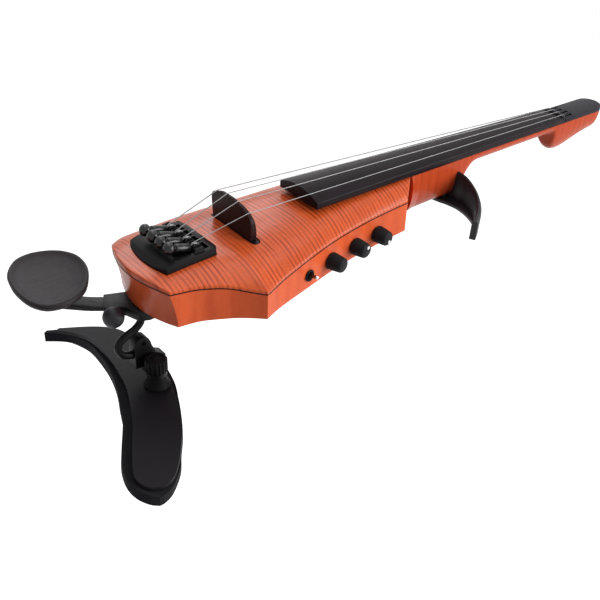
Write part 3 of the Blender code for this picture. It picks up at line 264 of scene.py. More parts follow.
@dataclass(frozen=True)
class Finish:
    """A finish, and the record's slot that it belongs to."""

    slot: Slot

    def make(self) -> bpy.types.Material:
        """Builds the finish's material."""
        raise NotImplementedError

    def material(self) -> bpy.types.Material:
        """The finish's material, made once."""
        if self not in MADE:
            MADE[self] = self.make()
            MADE[self].name = f"{self.slot.value}_{type(self).__name__}_{len(MADE)}"
        return MADE[self]


@dataclass(frozen=True)
class FlamedMaple(Finish):
    """Stained, lacquered maple whose flames run across the instrument."""

    slot: Slot = Slot.MAPLE
    light: Colour = tone(214, 92, 44)
    dark: Colour = tone(146, 44, 16)
    flames_per_metre: float = 280.0
    contrast: float = 1.0
    roughness: float = 0.3
    specular: float = 0.2
    coat: float = 0.12

    def make(self) -> bpy.types.Material:
        """Uneven bands across the grain, fine pores along it, and a lacquer coat."""
        recipe = Recipe("maple")
        swing = self.bands(recipe)
        middle = tuple((a + b) / 2 for a, b in zip(self.light, self.dark))
        stops = ((0.08, self.dark), (0.36, middle), (0.62, self.light), (1.0, shaded(self.light, 1.12)))
        colour = recipe.ramp(swing, *stops)
        pores = recipe.noise((70, 2600, 2600), detail=3.0)
        colour = recipe.mixed(recipe.ranged(pores, 0.36, 0.52, 0.22, 0.0), colour, shaded(self.dark, 0.8))
        cloud = recipe.noise((24, 34, 30), detail=2.0)
        colour = recipe.mixed(recipe.ranged(cloud, 0.4, 0.75, 0.0, 0.3), colour, shaded(middle, 0.86))
        shine = recipe.ranged(recipe.noise(60), 0.3, 0.7, -0.04, 0.05)
        shine = recipe.maths("ADD", shine, self.roughness)
        relief = recipe.bump(recipe.noise(400), 0.06, 0.0003)
        return recipe.done(
            Base_Color=colour, Roughness=shine, Normal=relief, Coat_Weight=self.coat, Coat_Roughness=0.12,
            Specular_IOR_Level=self.specular,
        )

    def bands(self, recipe: Recipe) -> Socket:
        """The flames, from 0 in a dark band to 1 in a light one.

        Args:
            recipe: The material being made.

        Returns:
            A wave along the instrument, bent, broken and faded by noise.
        """
        x = recipe.add("ShaderNodeSeparateXYZ", {"Vector": recipe.object_place}).outputs["X"]
        bend = recipe.noise((9, 10, 8), detail=1.0)
        waver = recipe.noise((110, 34, 30), detail=2.0)
        phase = recipe.maths("MULTIPLY", x, self.flames_per_metre * 2 * math.pi)
        phase = recipe.maths("ADD", phase, recipe.maths("MULTIPLY", bend, 13.0))
        phase = recipe.maths("ADD", phase, recipe.maths("MULTIPLY", waver, 6.0))
        wave = recipe.maths("SINE", phase, 0.0)
        fade = recipe.ranged(recipe.noise((170, 34, 26), detail=1.0), 0.36, 0.62, 0.25, 1.0)
        wave = recipe.maths("MULTIPLY", recipe.maths("MULTIPLY", wave, fade), 0.4 * self.contrast)
        streaks = recipe.noise((self.flames_per_metre * 2.6, 40, 40), detail=2.0)
        streaks = recipe.ranged(streaks, 0.25, 0.75, -0.2 * self.contrast, 0.2 * self.contrast)
        return recipe.maths("ADD", recipe.maths("ADD", wave, streaks), 0.6)


@dataclass(frozen=True)
class Ebony(Finish):
    """Dyed black hardwood with a faint lengthways grain."""

    slot: Slot = Slot.EBONY
    colour: Colour = tone(20, 17, 18)
    roughness: float = 0.36
    specular: float = 0.09
    warm: Colour = tone(33, 23, 29)

    def make(self) -> bpy.types.Material:
        """Long dark grain with slightly warmer streaks and fine open pores."""
        recipe = Recipe("ebony")
        streaks = recipe.noise((14, 420, 420), detail=3.0, bend=0.4)
        colour = recipe.ramp(streaks, (0.3, self.colour), (0.75, self.warm))
        pores = recipe.noise((160, 3200, 3200), detail=2.0)
        shine = recipe.ranged(pores, 0.35, 0.65, self.roughness + 0.08, self.roughness - 0.04)
        relief = recipe.bump(pores, 0.12, 0.0002)
        return recipe.done(
            Base_Color=colour, Roughness=shine, Normal=relief, Specular_IOR_Level=self.specular,
        )


@dataclass(frozen=True)
class Satin(Finish):
    """Paint or moulded plastic with a fine grain."""

    slot: Slot = Slot.BLACK_PLASTIC
    colour: Colour = tone(17, 16, 18)
    roughness: float = 0.42
    grain: float = 900.0
    depth: float = 0.12
    specular: float = 0.11

    def make(self) -> bpy.types.Material:
        """A nearly even colour whose gloss and relief vary finely."""
        recipe = Recipe("satin")
        grain = recipe.noise(self.grain, detail=3.0)
        wear = recipe.noise(45, detail=3.0)
        colour = recipe.ramp(wear, (0.3, shaded(self.colour, 0.8)), (0.8, shaded(self.colour, 1.35)))
        shine = recipe.ranged(grain, 0.3, 0.7, self.roughness - 0.06, self.roughness + 0.08)
        relief = recipe.bump(grain, self.depth, 0.0002)
        return recipe.done(
            Base_Color=colour, Roughness=shine, Normal=relief, Specular_IOR_Level=self.specular,
        )


@dataclass(frozen=True)
class BrightMetal(Finish):
    """Plated or plain metal with faint turning marks."""

    slot: Slot = Slot.BRIGHT_METAL
    colour: Colour = tone(205, 205, 208)
    roughness: float = 0.24

    def make(self) -> bpy.types.Material:
        """Metal with brushed variation of its gloss."""
        recipe = Recipe("bright_metal")
        marks = recipe.noise((900, 900, 2600), detail=3.0)
        stain = recipe.noise(140, detail=2.0)
        colour = recipe.ramp(stain, (0.3, shaded(self.colour, 0.82)), (0.7, self.colour))
        shine = recipe.ranged(marks, 0.3, 0.7, self.roughness - 0.05, self.roughness + 0.1)
        relief = recipe.bump(marks, 0.06, 0.0001)
        return recipe.done(Base_Color=colour, Roughness=shine, Normal=relief, Metallic=1.0)


@dataclass(frozen=True)
class WoundString(Finish):
    """A string's flat metal winding."""

    slot: Slot = Slot.STRING
    colour: Colour = tone(132, 131, 132)
    windings_per_metre: float = 2600.0

    def make(self) -> bpy.types.Material:
        """Fine bright turns across the string."""
        recipe = Recipe("wound_string")
        turns = recipe.stretched((self.windings_per_metre, 8, 8))
        wave = recipe.add("ShaderNodeTexWave", {"Vector": turns, "Scale": 0.16, "Distortion": 0.4})
        colour = recipe.ramp(wave.outputs["Fac"], (0.0, shaded(self.colour, 0.88)), (0.5, self.colour))
        shine = recipe.ranged(recipe.noise((self.windings_per_metre, 8, 8)), 0.3, 0.7, 0.26, 0.4)
        relief = recipe.bump(wave.outputs["Fac"], 0.12, 0.0001)
        return recipe.done(Base_Color=colour, Roughness=shine, Normal=relief, Metallic=0.75)


@dataclass(frozen=True)
class Foam(Finish):
    """Closed-cell black foam."""

    slot: Slot = Slot.FOAM
    colour: Colour = tone(30, 29, 33)

    def make(self) -> bpy.types.Material:
        """A dull surface of fine cells."""
        recipe = Recipe("foam")
        cells = recipe.cells(1500.0)
        patches = recipe.noise(70, detail=3.0)
        colour = recipe.ramp(patches, (0.3, shaded(self.colour, 0.8)), (0.75, shaded(self.colour, 1.3)))
        colour = recipe.mixed(recipe.ranged(cells, 0.0, 0.5, 0.35, 0.0), colour, shaded(self.colour, 0.4))
        shine = recipe.ranged(cells, 0.0, 0.6, 0.95, 0.78)
        relief = recipe.bump(cells, 0.35, 0.0003)
        relief = recipe.bump(patches, 0.25, 0.0012, relief)
        return recipe.done(
            Base_Color=colour, Roughness=shine, Normal=relief, Specular_IOR_Level=0.06, Sheen_Weight=0.03,
        )


@dataclass(frozen=True)
class CircuitBoard(Finish):
    """Green solder mask with copper tracks under it."""

    slot: Slot = Slot.BOARD

    def make(self) -> bpy.types.Material:
        """Blocks of slightly lighter green, as tracks show through the mask."""
        recipe = Recipe("circuit_board")
        inputs = {"Vector": recipe.stretched(420), "Scale": 1.0, "Mortar Size": 0.08}
        bricks = recipe.add("ShaderNodeTexBrick", inputs)
        colour = recipe.ramp(bricks.outputs["Fac"], (0.2, tone(22, 92, 48)), (0.8, tone(46, 124, 70)))
        shine = recipe.ranged(bricks.outputs["Fac"], 0.0, 1.0, 0.45, 0.3)
        relief = recipe.bump(bricks.outputs["Fac"], 0.2, 0.0001)
        return recipe.done(Base_Color=colour, Roughness=shine, Normal=relief)


# Shapes


def smooth(points: Sequence[Sequence[float]], steps: int = 10) -> list[Vector]:
    """Points of a curve that passes through the given ones.

    Args:
        points: The places the curve passes through.
        steps: Points from each place to the next.

    Returns:
        The curve's points, ending on the last place.
    """
    given = [Vector(p) for p in points]
    ends = [given[0] * 2 - given[1]] + given + [given[-1] * 2 - given[-2]]
    curve = []
    for i in range(1, len(ends) - 2):
        before, start, end, after = ends[i - 1 : i + 3]
        for k in range(steps):
            t = k / steps
            square = (2 * before - 5 * start + 4 * end - after) * t**2
            cube = (3 * start - before - 3 * end + after) * t**3
            curve.append((2 * start + (end - before) * t + square + cube) / 2)
    curve.append(given[-1])
    return curve


def round_trip(points: Sequence[Sequence[float]], steps: int = 6) -> list[Vector]:
    """Points of a closed curve through the given ones, without a repeat of the first.

    Args:
        points: The places the curve passes through.
        steps: Points from each place to the next.

    Returns:
        The curve's points.
    """
    count = len(points)
    around = list(points[-2:]) + list(points) + list(points[:2])
    return smooth(around, steps)[2 * steps : (2 + count) * steps]


class Track:
    """A smooth curve of a value along X, through a few measured points."""

    def __init__(self, points: Sequence[Point]) -> None:
        """Keeps the curve as closely spaced points.

        Args:
            points: Pairs of a place and its value, by rising place.
        """
        curve = smooth(points)
        self.places = [p.x for p in curve]
        self.values = [p.y for p in curve]

    def at(self, x: float) -> float:
        """The value at x."""
        return float(np.interp(x, self.places, self.values))


def pulled(mesh: Mesh, faces: Sequence[bmesh.types.BMFace], rise: Sequence[float]) -> None:
    """Extrudes faces along a straight line and keeps the faces that they start from.

    Args:
        mesh: The mesh that holds the faces.
        faces: The faces to extrude.
        rise: The way they move.
    """
    grown = bmesh.ops.extrude_face_region(mesh, geom=faces, use_keep_orig=True)["geom"]
    moved = [item for item in grown if isinstance(item, bmesh.types.BMVert)]
    bmesh.ops.translate(mesh, verts=moved, vec=rise)


def bevelled(mesh: Mesh, edges: Sequence[bmesh.types.BMEdge], width: float, segments: int) -> None:
    """Rounds the given edges of a mesh."""
    looks = {"affect": "EDGES", "profile": 0.5, "material": -1, "clamp_overlap": True}
    bmesh.ops.bevel(mesh, geom=edges, offset=width, segments=segments, **looks)


def laid(columns: int, rows: int, place: Callable[[float, float], Vector]) -> Mesh:
    """An open sheet: a grid whose points are laid where place says, from shares along and across.

    Args:
        columns: Faces along the sheet.
        rows: Faces across the sheet.
        place: Gives a point from its two shares.

    Returns:
        The open sheet.
    """
    mesh = bmesh.new()
    bmesh.ops.create_grid(mesh, x_segments=columns, y_segments=rows, size=1.0)
    for vert in mesh.verts:
        vert.co = place((vert.co.x + 1) / 2, (vert.co.y + 1) / 2)
    return mesh


def ringed(columns: int, rows: int, place: Callable[[float, float], Vector], capped: bool = True) -> Mesh:
    """A closed skin: a laid sheet whose two long edges meet, with its open ends filled.

    Args:
        columns: Faces along the skin.
        rows: Faces round it.
        place: Gives a point from its two shares.
        capped: Whether the ends are open and get a face each.

    Returns:
        The closed skin.
    """
    mesh = laid(columns, rows, place)
    bmesh.ops.remove_doubles(mesh, verts=mesh.verts[:], dist=0.0005)
    if capped:
        bmesh.ops.holes_fill(mesh, edges=[e for e in mesh.edges if e.is_boundary], sides=0)
    bmesh.ops.recalc_face_normals(mesh, faces=mesh.faces[:])
    return mesh


def thick(
    columns: int,
    rows: int,
    place: Callable[[float, float, float], Vector],
    layers: int = 1,
    rounded: float = 0.0,
    rounded_layers: Sequence[float] = (1.0,),
) -> Mesh:
    """A closed slab whose points are laid from shares along, across and up.

    Args:
        columns: Faces along the slab.
        rows: Faces across the slab.
        place: Gives a point from its three shares; the last is 0 underneath and 1 on top.
        layers: Faces up each wall.
        rounded: Width of the rounding on the slab's edges, in millimetres.
        rounded_layers: The levels, 0 or 1, whose rim is rounded.

    Returns:
        The closed slab.
    """
    mesh = bmesh.new()
    bmesh.ops.create_grid(mesh, x_segments=columns, y_segments=rows, size=1.0)
    pulled(mesh, mesh.faces[:], UP)
    if layers > 1:
        posts = [e for e in mesh.edges if abs(e.verts[0].co.z - e.verts[1].co.z) > 0.5]
        bmesh.ops.subdivide_edges(mesh, edges=posts, cuts=layers - 1, use_grid_fill=True)

    def level(edge: bmesh.types.BMEdge) -> bool:
        """Whether both ends of an edge lie at a level whose rim is rounded."""
        heights = [v.co.z for v in edge.verts]
        return any(max(abs(h - flat) for h in heights) < 1e-4 for flat in rounded_layers)

    rims = [e for e in mesh.edges if level(e) and on_one_wall(e) and len(e.link_faces) == 2]
    for vert in mesh.verts:
        vert.co = place((vert.co.x + 1) / 2, (vert.co.y + 1) / 2, vert.co.z)
    bmesh.ops.recalc_face_normals(mesh, faces=mesh.faces[:])
    if rounded:
        bevelled(mesh, rims, rounded, 3)
    return mesh


def on_one_wall(edge: bmesh.types.BMEdge) -> bool:
    """Whether an edge of the unlaid slab runs along one of its four walls.

    Args:
        edge: The edge.

    Returns:
        True for an edge on a wall.
    """
    first, second = (v.co for v in edge.verts)
    along_x = abs(abs(first.x) - 1) < 1e-4 and abs(first.x - second.x) < 1e-4
    along_y = abs(abs(first.y) - 1) < 1e-4 and abs(first.y - second.y) < 1e-4
    return along_x or along_y


def revolved(
    profile: Sequence[Point],
    place: Sequence[float],
    axis: Sequence[float],
    steps: int = 48,
    shape: Callable[[Vector], Vector] | None = None,
) -> Mesh:
    """A turned solid.

    Args:
        profile: (distance along the axis, radius) pairs, starting and ending on the axis.
        place: The point that distances along the axis are counted from.
        axis: The direction of the axis.
        steps: Faces round the axis.
        shape: Moves a point of the upright solid, for ribs and the like.

    Returns:
        The closed solid.
    """
    mesh = bmesh.new()
    chain = [mesh.verts.new((radius, 0.0, along)) for along, radius in profile]
    edges = [mesh.edges.new(pair) for pair in zip(chain, chain[1:])]
    around = {"cent": (0, 0, 0), "axis": (0, 0, 1), "angle": 2 * math.pi, "steps": steps, "use_merge": True}
    bmesh.ops.spin(mesh, geom=chain + edges, **around)
    bmesh.ops.remove_doubles(mesh, verts=mesh.verts[:], dist=0.001)
    if shape is not None:
        for vert in mesh.verts:
            vert.co = shape(vert.co)
    turn = Vector(axis).to_track_quat("Z", "Y").to_matrix().to_4x4()
    bmesh.ops.transform(mesh, matrix=Matrix.Translation(place) @ turn, verts=mesh.verts[:])
    bmesh.ops.recalc_face_normals(mesh, faces=mesh.faces[:])
    return mesh


def raised(outline: Sequence[Sequence[float]], rise: Sequence[float]) -> Mesh:
    """A flat face carried along a straight line into a closed solid.

    Args:
        outline: The face's corners.
        rise: The way it is carried.

    Returns:
        The closed solid.
    """
    mesh = bmesh.new()
    face = mesh.faces.new([mesh.verts.new(p) for p in outline])
    pulled(mesh, [face], rise)
    bmesh.ops.recalc_face_normals(mesh, faces=mesh.faces[:])
    return mesh


def upright(outline: Sequence[Sequence[float]], low: float, high: float) -> Mesh:
    """A solid with a flat outline in X and Y, from one height to another."""
    return raised([(p[0], p[1], low) for p in outline], (0, 0, high - low))


def sideways(outline: Sequence[Sequence[float]], low: float, high: float) -> Mesh:
    """A solid with a flat outline in X and Z, from one Y to another."""
    return raised([(p[0], low, p[1]) for p in outline], (0, high - low, 0))


def brick(x: Point, y: Point, z: Point) -> Mesh:
    """A plain block, used as a cutter."""
    return upright([(x[0], y[0]), (x[1], y[0]), (x[1], y[1]), (x[0], y[1])], *z)


def drill(start: Sequence[float], end: Sequence[float], radius: float, steps: int = 32) -> Mesh:
    """A round bar from one point to another, used as a cutter."""
    way = Vector(end) - Vector(start)
    return revolved([(0, 0), (0, radius), (way.length, radius), (way.length, 0)], start, way, steps)


def rounded_edges(mesh: Mesh, width: float, segments: int = 2, angle: float = 40.0) -> Mesh:
    """Rounds the edges of a mesh that are sharper than an angle in degrees.

    Args:
        mesh: The mesh to round.
        width: Width of the rounding in millimetres.
        segments: Faces across the rounding.
        angle: The least angle that is rounded.

    Returns:
        The same mesh.
    """
    limit = math.radians(angle)
    sharp = [e for e in mesh.edges if len(e.link_faces) == 2 and e.calc_face_angle(0.0) > limit]
    bevelled(mesh, sharp, width, segments)
    return mesh


def mesh_data(name: str, mesh: Mesh) -> bpy.types.Mesh:
    """The mesh as an object's data; the bmesh itself is freed.

    Args:
        name: The data's name.
        mesh: The mesh.

    Returns:
        The data.
    """
    data = bpy.data.meshes.new(name)
    mesh.to_mesh(data)
    mesh.free()
    return data


def in_scene(name: str, data: bpy.types.ID) -> bpy.types.Object:
    """A new object in the scene, with the given data.

    Args:
        name: The object's name.
        data: What it shows.

    Returns:
        The object.
    """
    obj = bpy.data.objects.new(name, data)
    bpy.context.scene.collection.objects.link(obj)
    return obj


def combined(mesh: Mesh, others: Sequence[Mesh], operation: str) -> Mesh:
    """The Boolean of a closed mesh with others, as a new mesh.

    Args:
        mesh: The mesh to change.
        others: The meshes that change it, in order.
        operation: UNION or DIFFERENCE.

    Returns:
        The new mesh.
    """
    target = in_scene("target", mesh_data("target", mesh))
    tools = [in_scene("tool", mesh_data("tool", other)) for other in others]
    for tool in tools:
        boolean = target.modifiers.new("cut", "BOOLEAN")
        boolean.operation = operation
        boolean.solver = "EXACT"
        boolean.object = tool
    graph = bpy.context.evaluated_depsgraph_get()
    result = bmesh.new()
    result.from_mesh(target.evaluated_get(graph).data)
    for obj in [target, *tools]:
        data = obj.data
        bpy.data.objects.remove(obj)
        bpy.data.meshes.remove(data)
    bmesh.ops.dissolve_degenerate(result, dist=0.0005, edges=result.edges[:])
    return result


def carved(mesh: Mesh, *cutters: Mesh) -> Mesh:
    """A mesh with others cut out of it."""
    return combined(mesh, cutters, "DIFFERENCE")


def fused(mesh: Mesh, *others: Mesh) -> Mesh:
    """A mesh grown together with others."""
    return combined(mesh, others, "UNION")


def wire(path: Sequence[Sequence[float]], radius: float, sides: int = 3) -> Mesh:
    """A round bar along a path, with filled ends, made with a bevelled curve.

    Args:
        path: The bar's middle line.
        radius: Half the bar's thickness.
        sides: Blender's bevel resolution, which gives the faces round the bar.

    Returns:
        The closed bar.
    """
    curve = bpy.data.curves.new("wire", "CURVE")
    curve.dimensions = "3D"
    curve.bevel_depth = radius
    curve.bevel_resolution = sides
    curve.use_fill_caps = True
    spline = curve.splines.new("POLY")
    spline.points.add(len(path) - 1)
    for point, place in zip(spline.points, path):
        point.co = (*place, 1.0)
    obj = in_scene("wire", curve)
    graph = bpy.context.evaluated_depsgraph_get()
    mesh = bmesh.new()
    mesh.from_mesh(obj.evaluated_get(graph).to_mesh())
    bpy.data.objects.remove(obj)
    bpy.data.curves.remove(curve)
    bmesh.ops.remove_doubles(mesh, verts=mesh.verts[:], dist=0.0005)
    bmesh.ops.recalc_face_normals(mesh, faces=mesh.faces[:])
    return mesh


@dataclass
class Piece:
    """A finished piece: its mesh, its finish, the body it rides on and the node it stands for."""

    name: str
    mesh: Mesh
    finish: Finish
    body: str = "instrument"
    nodes: tuple[str, ...] = ()
    edge: float = 0.0
    edge_steps: int = 2
    edge_angle: float = 40.0
    smooth_angle: float = 42.0

    def place(self) -> bpy.types.Object:
        """Puts the piece into the row frame, dresses it and tells the frame about it."""
        bmesh.ops.transform(self.mesh, matrix=ROW_FRAME, verts=self.mesh.verts[:])
        data = mesh_data(self.name, self.mesh)
        data.shade_smooth()
        data.set_sharp_from_angle(angle=math.radians(self.smooth_angle))
        data.materials.append(self.finish.material())
        obj = in_scene(self.name, data)
        if self.edge:
            bevel = obj.modifiers.new("edge", "BEVEL")
            bevel.width = self.edge * TO_METRES
            bevel.segments = self.edge_steps
            bevel.limit_method = "ANGLE"
            bevel.angle_limit = math.radians(self.edge_angle)
            weighted = obj.modifiers.new("even", "WEIGHTED_NORMAL")
            weighted.keep_sharp = True
        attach(obj, self.body)
        if self.nodes:
            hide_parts(*self.nodes)
        LOG.info("%s: %d faces", self.name, len(data.polygons))
        return obj


def standing_for(
    node: str, mesh: Mesh, finish: Finish, body: str = "instrument", **looks: float
) -> bpy.types.Object:
    """Places a piece that stands for one node and takes its name from it."""
    return Piece(f"{node}_piece", mesh, finish, body, (node,), **looks).place()


# The instrument


@dataclass(frozen=True)
class BodyPlan:
    """The body from above and its heights, in millimetres from the bridge."""

    tail: float = -77.7
    waist: float = -17.6
    shoulder: float = 143.5
    waist_share: float = 28 / 96
    joint: float = 17.6 / 32.85
    tail_bow: float = 9.8
    shoulder_bow: float = 16.2
    undercut: float = 5.7
    undercut_reach: float = 35.0
    bow_start: float = 70.0
    arch: float = 3.6
    waist_edge: Track = Track(
        [(-77.7, -37.6), (-60.8, -40.1), (-49, -44.2), (-36, -50.6), (-26, -57.9), (-17.6, -65.3)]
    )
    treble_edge: Track = Track(
        [(-17.6, -65.3), (-1, -59.3), (32, -50.8), (56, -44.8), (79, -40.3), (110, -35.8), (143.5, -32.7)]
    )
    bass_edge: Track = Track(
        [
            (-77.7, 38), (-66, 43.4), (-45, 45.6), (-20, 47), (5, 46.6), (38, 44.8), (75, 42.6), (110, 38),
            (143.5, 33),
        ]
    )
    crown: Track = Track([(-77.7, 34.6), (-50, 36), (0, 36.4), (60, 38.4), (143.5, 37.6)])
    treble_line: Track = Track(
        [(-77.7, 28.4), (-43, 25.5), (-17.6, 20.3), (10, 22.4), (35, 24.4), (80, 25.6), (143.5, 25.2)]
    )
    bass_line: Track = Track([(-77.7, 28.4), (-40, 27), (20, 26.6), (80, 26.4), (143.5, 25.2)])

    def station(self, share: float) -> float:
        """The place along the body of a column; one column stands on the waist corner.

        Args:
            share: The column, from 0 at the tail to 1 at the shoulder.

        Returns:
            The place in millimetres.
        """
        if share < self.waist_share:
            return self.tail + (self.waist - self.tail) * share / self.waist_share
        return self.waist + (self.shoulder - self.waist) * (share - self.waist_share) / (1 - self.waist_share)

    def across(self, share: float) -> float:
        """The place across the body of a row, from -1 to 1; one row on each side meets the neck's corner.

        Args:
            share: The row, from 0 on the treble side to 1 on the bass side.

        Returns:
            The place across.
        """
        reach = abs(2 * share - 1)
        if reach < 0.5:
            half = self.joint * reach / 0.5
        else:
            half = self.joint + (1 - self.joint) * (reach - 0.5) / 0.5
        return math.copysign(half, 2 * share - 1)

    def edge(self, x: float, side: Side) -> float:
        """Y of the body's edge.

        Args:
            x: The place along the body.
            side: Which edge.

        Returns:
            The edge's Y.
        """
        if side is Side.BASS:
            return self.bass_edge.at(x)
        return self.waist_edge.at(x) if x <= self.waist else self.treble_edge.at(x)

    def point(self, along: float, across: float, sink: float, lift: float) -> Vector:
        """A point of an arched surface.

        Args:
            along: Share of the columns.
            across: Share of the rows.
            sink: How far under the top's crown the surface lies.
            lift: How far above the dark line's middle the surface meets the edge.

        Returns:
            The point.
        """
        x = self.station(along)
        share = self.across(across)
        side = Side.TREBLE if share < 0 else Side.BASS
        y = abs(share) * self.edge(x, side)
        line = (self.treble_line if side is Side.TREBLE else self.bass_line).at(x) + lift
        crown = self.crown.at(x) - sink
        tail = max(0.0, 1 - (x - self.tail) / (self.waist - self.tail))
        shoulder = max(0.0, (x - self.bow_start) / (self.shoulder - self.bow_start))
        bow = self.shoulder_bow * shoulder * min(1.0, (1 - abs(share)) / (1 - self.joint))
        z = crown - (crown - line) * abs(share) ** self.arch
        return Vector((x - self.tail_bow * tail * (1 - share * share) + bow, y, z))

    def tucked(self, along: float) -> float:
        """How far the tail end is cut under at the back."""
        return self.undercut * max(0.0, 1 - (self.station(along) - self.tail) / self.undercut_reach)

    def side_frame(self, x: float, side: Side, height: float) -> tuple[Vector, Vector]:
        """A point of the body's side and its outward direction.

        Args:
            x: The place along the body.
            side: Which side.
            height: The point's height.

        Returns:
            The point, and the direction.
        """
        track = self.treble_edge if side is Side.TREBLE else self.bass_edge
        slope = (track.at(x + 4) - track.at(x - 4)) / 8
        out = Vector((-slope, 1, 0)).normalized() * side.value
        return Vector((x, track.at(x), height)), out


PLAN = BodyPlan()


@dataclass(frozen=True)
class BoardPlan:
    """The fingerboard and the head from above and their heights, in millimetres from the bridge."""

    start: float = 59.5
    nut: float = 356.0
    nut_length: float = 3.2
    head_end: float = 418.0
    head_taper: float = 0.6
    tip_start: float = 406.0
    head_lift: float = 0.018
    half_start: float = 22.4
    half_nut: float = 12.2
    edge: float = 4.2
    radius: float = 42.0
    height: float = 41.2
    slope: float = -0.0389
    tenon_start: float = 76.0
    tenon_floor: float = 22.5
    tenon_inset: float = 6.0
    heel: float = 160.4

    def half(self, x: float) -> float:
        """Half the width of fingerboard and head at x, with the head's round tip.

        Args:
            x: The place along the board.

        Returns:
            Half the width.
        """
        if x <= self.nut:
            share = (x - self.start) / (self.nut - self.start)
            return self.half_start + (self.half_nut - self.half_start) * share
        half = self.half_nut - self.head_taper * (x - self.nut) / (self.head_end - self.nut)
        tip = (x - self.tip_start) / (self.head_end - self.tip_start)
        if tip > 0:
            half *= math.sqrt(max(0.0, 1 - min(tip, 0.998) ** 2.8))
        return half

    def floor(self, x: float) -> float:
        """Height of the flat underside of fingerboard and head plate; the head lies nearly level."""
        return self.height + self.slope * (x - self.start) + self.head_lift * max(0.0, x - self.nut)

    def arch(self, half: float, y: float) -> float:
        """Height of the fingerboard's arch above its edge."""
        return math.sqrt(self.radius**2 - y * y) - math.sqrt(self.radius**2 - half * half)


BOARD = BoardPlan()


class Outlines:
    """Outlines that more than one piece shares."""

    @staticmethod
    def tuner(grow: float = 0.0) -> list[Point]:
        """The tuner block from above: a bowed tail end and cut corners toward the bridge.

        Args:
            grow: How much wider the outline is on every side.

        Returns:
            The outline.
        """
        side = TUNER_SIDE + grow
        steps = 24
        tail = [(-70.6 - grow, -side)]
        for i in range(steps + 1):
            y = (i / steps * 2 - 1) * 0.89
            tail.append((-75.4 - grow + 4.8 * y * y, y * side))
        tail.append((-70.6 - grow, side))
        corner = (-30.5 + grow, 23.2 + grow)
        front = [corner, (-27 + grow, 17.5), (-27 + grow, -17.5), (corner[0], -corner[1])]
        return tail + front

    @staticmethod
    def bridge_slot(half_length: float, radius: float) -> list[Point]:
        """A long hole with round ends, along Y.

        Args:
            half_length: Half the hole's length.
            radius: The radius of its ends.

        Returns:
            The outline.
        """
        outline = []
        for side in (1, -1):
            for i in range(21):
                turn = math.pi * i / 20
                y = side * (half_length - radius + radius * math.sin(turn)) - 0.8
                outline.append((1.6 + radius * math.cos(turn) * side, y))
        return outline

    @staticmethod
    def cover(grow: float = 0.0) -> list[Point]:
        """The rear cover from below.

        Args:
            grow: How much wider the outline is on every side.

        Returns:
            The outline.
        """
        x0 = 13.5 - grow
        x1 = 133 + grow
        places = [x0 + (x1 - x0) * i / 12 for i in range(13)]
        treble = [(x, PLAN.treble_edge.at(x) + 4.2 - grow) for x in places]
        return treble + [(x1, 28 + grow), (x0, 28 + grow)]


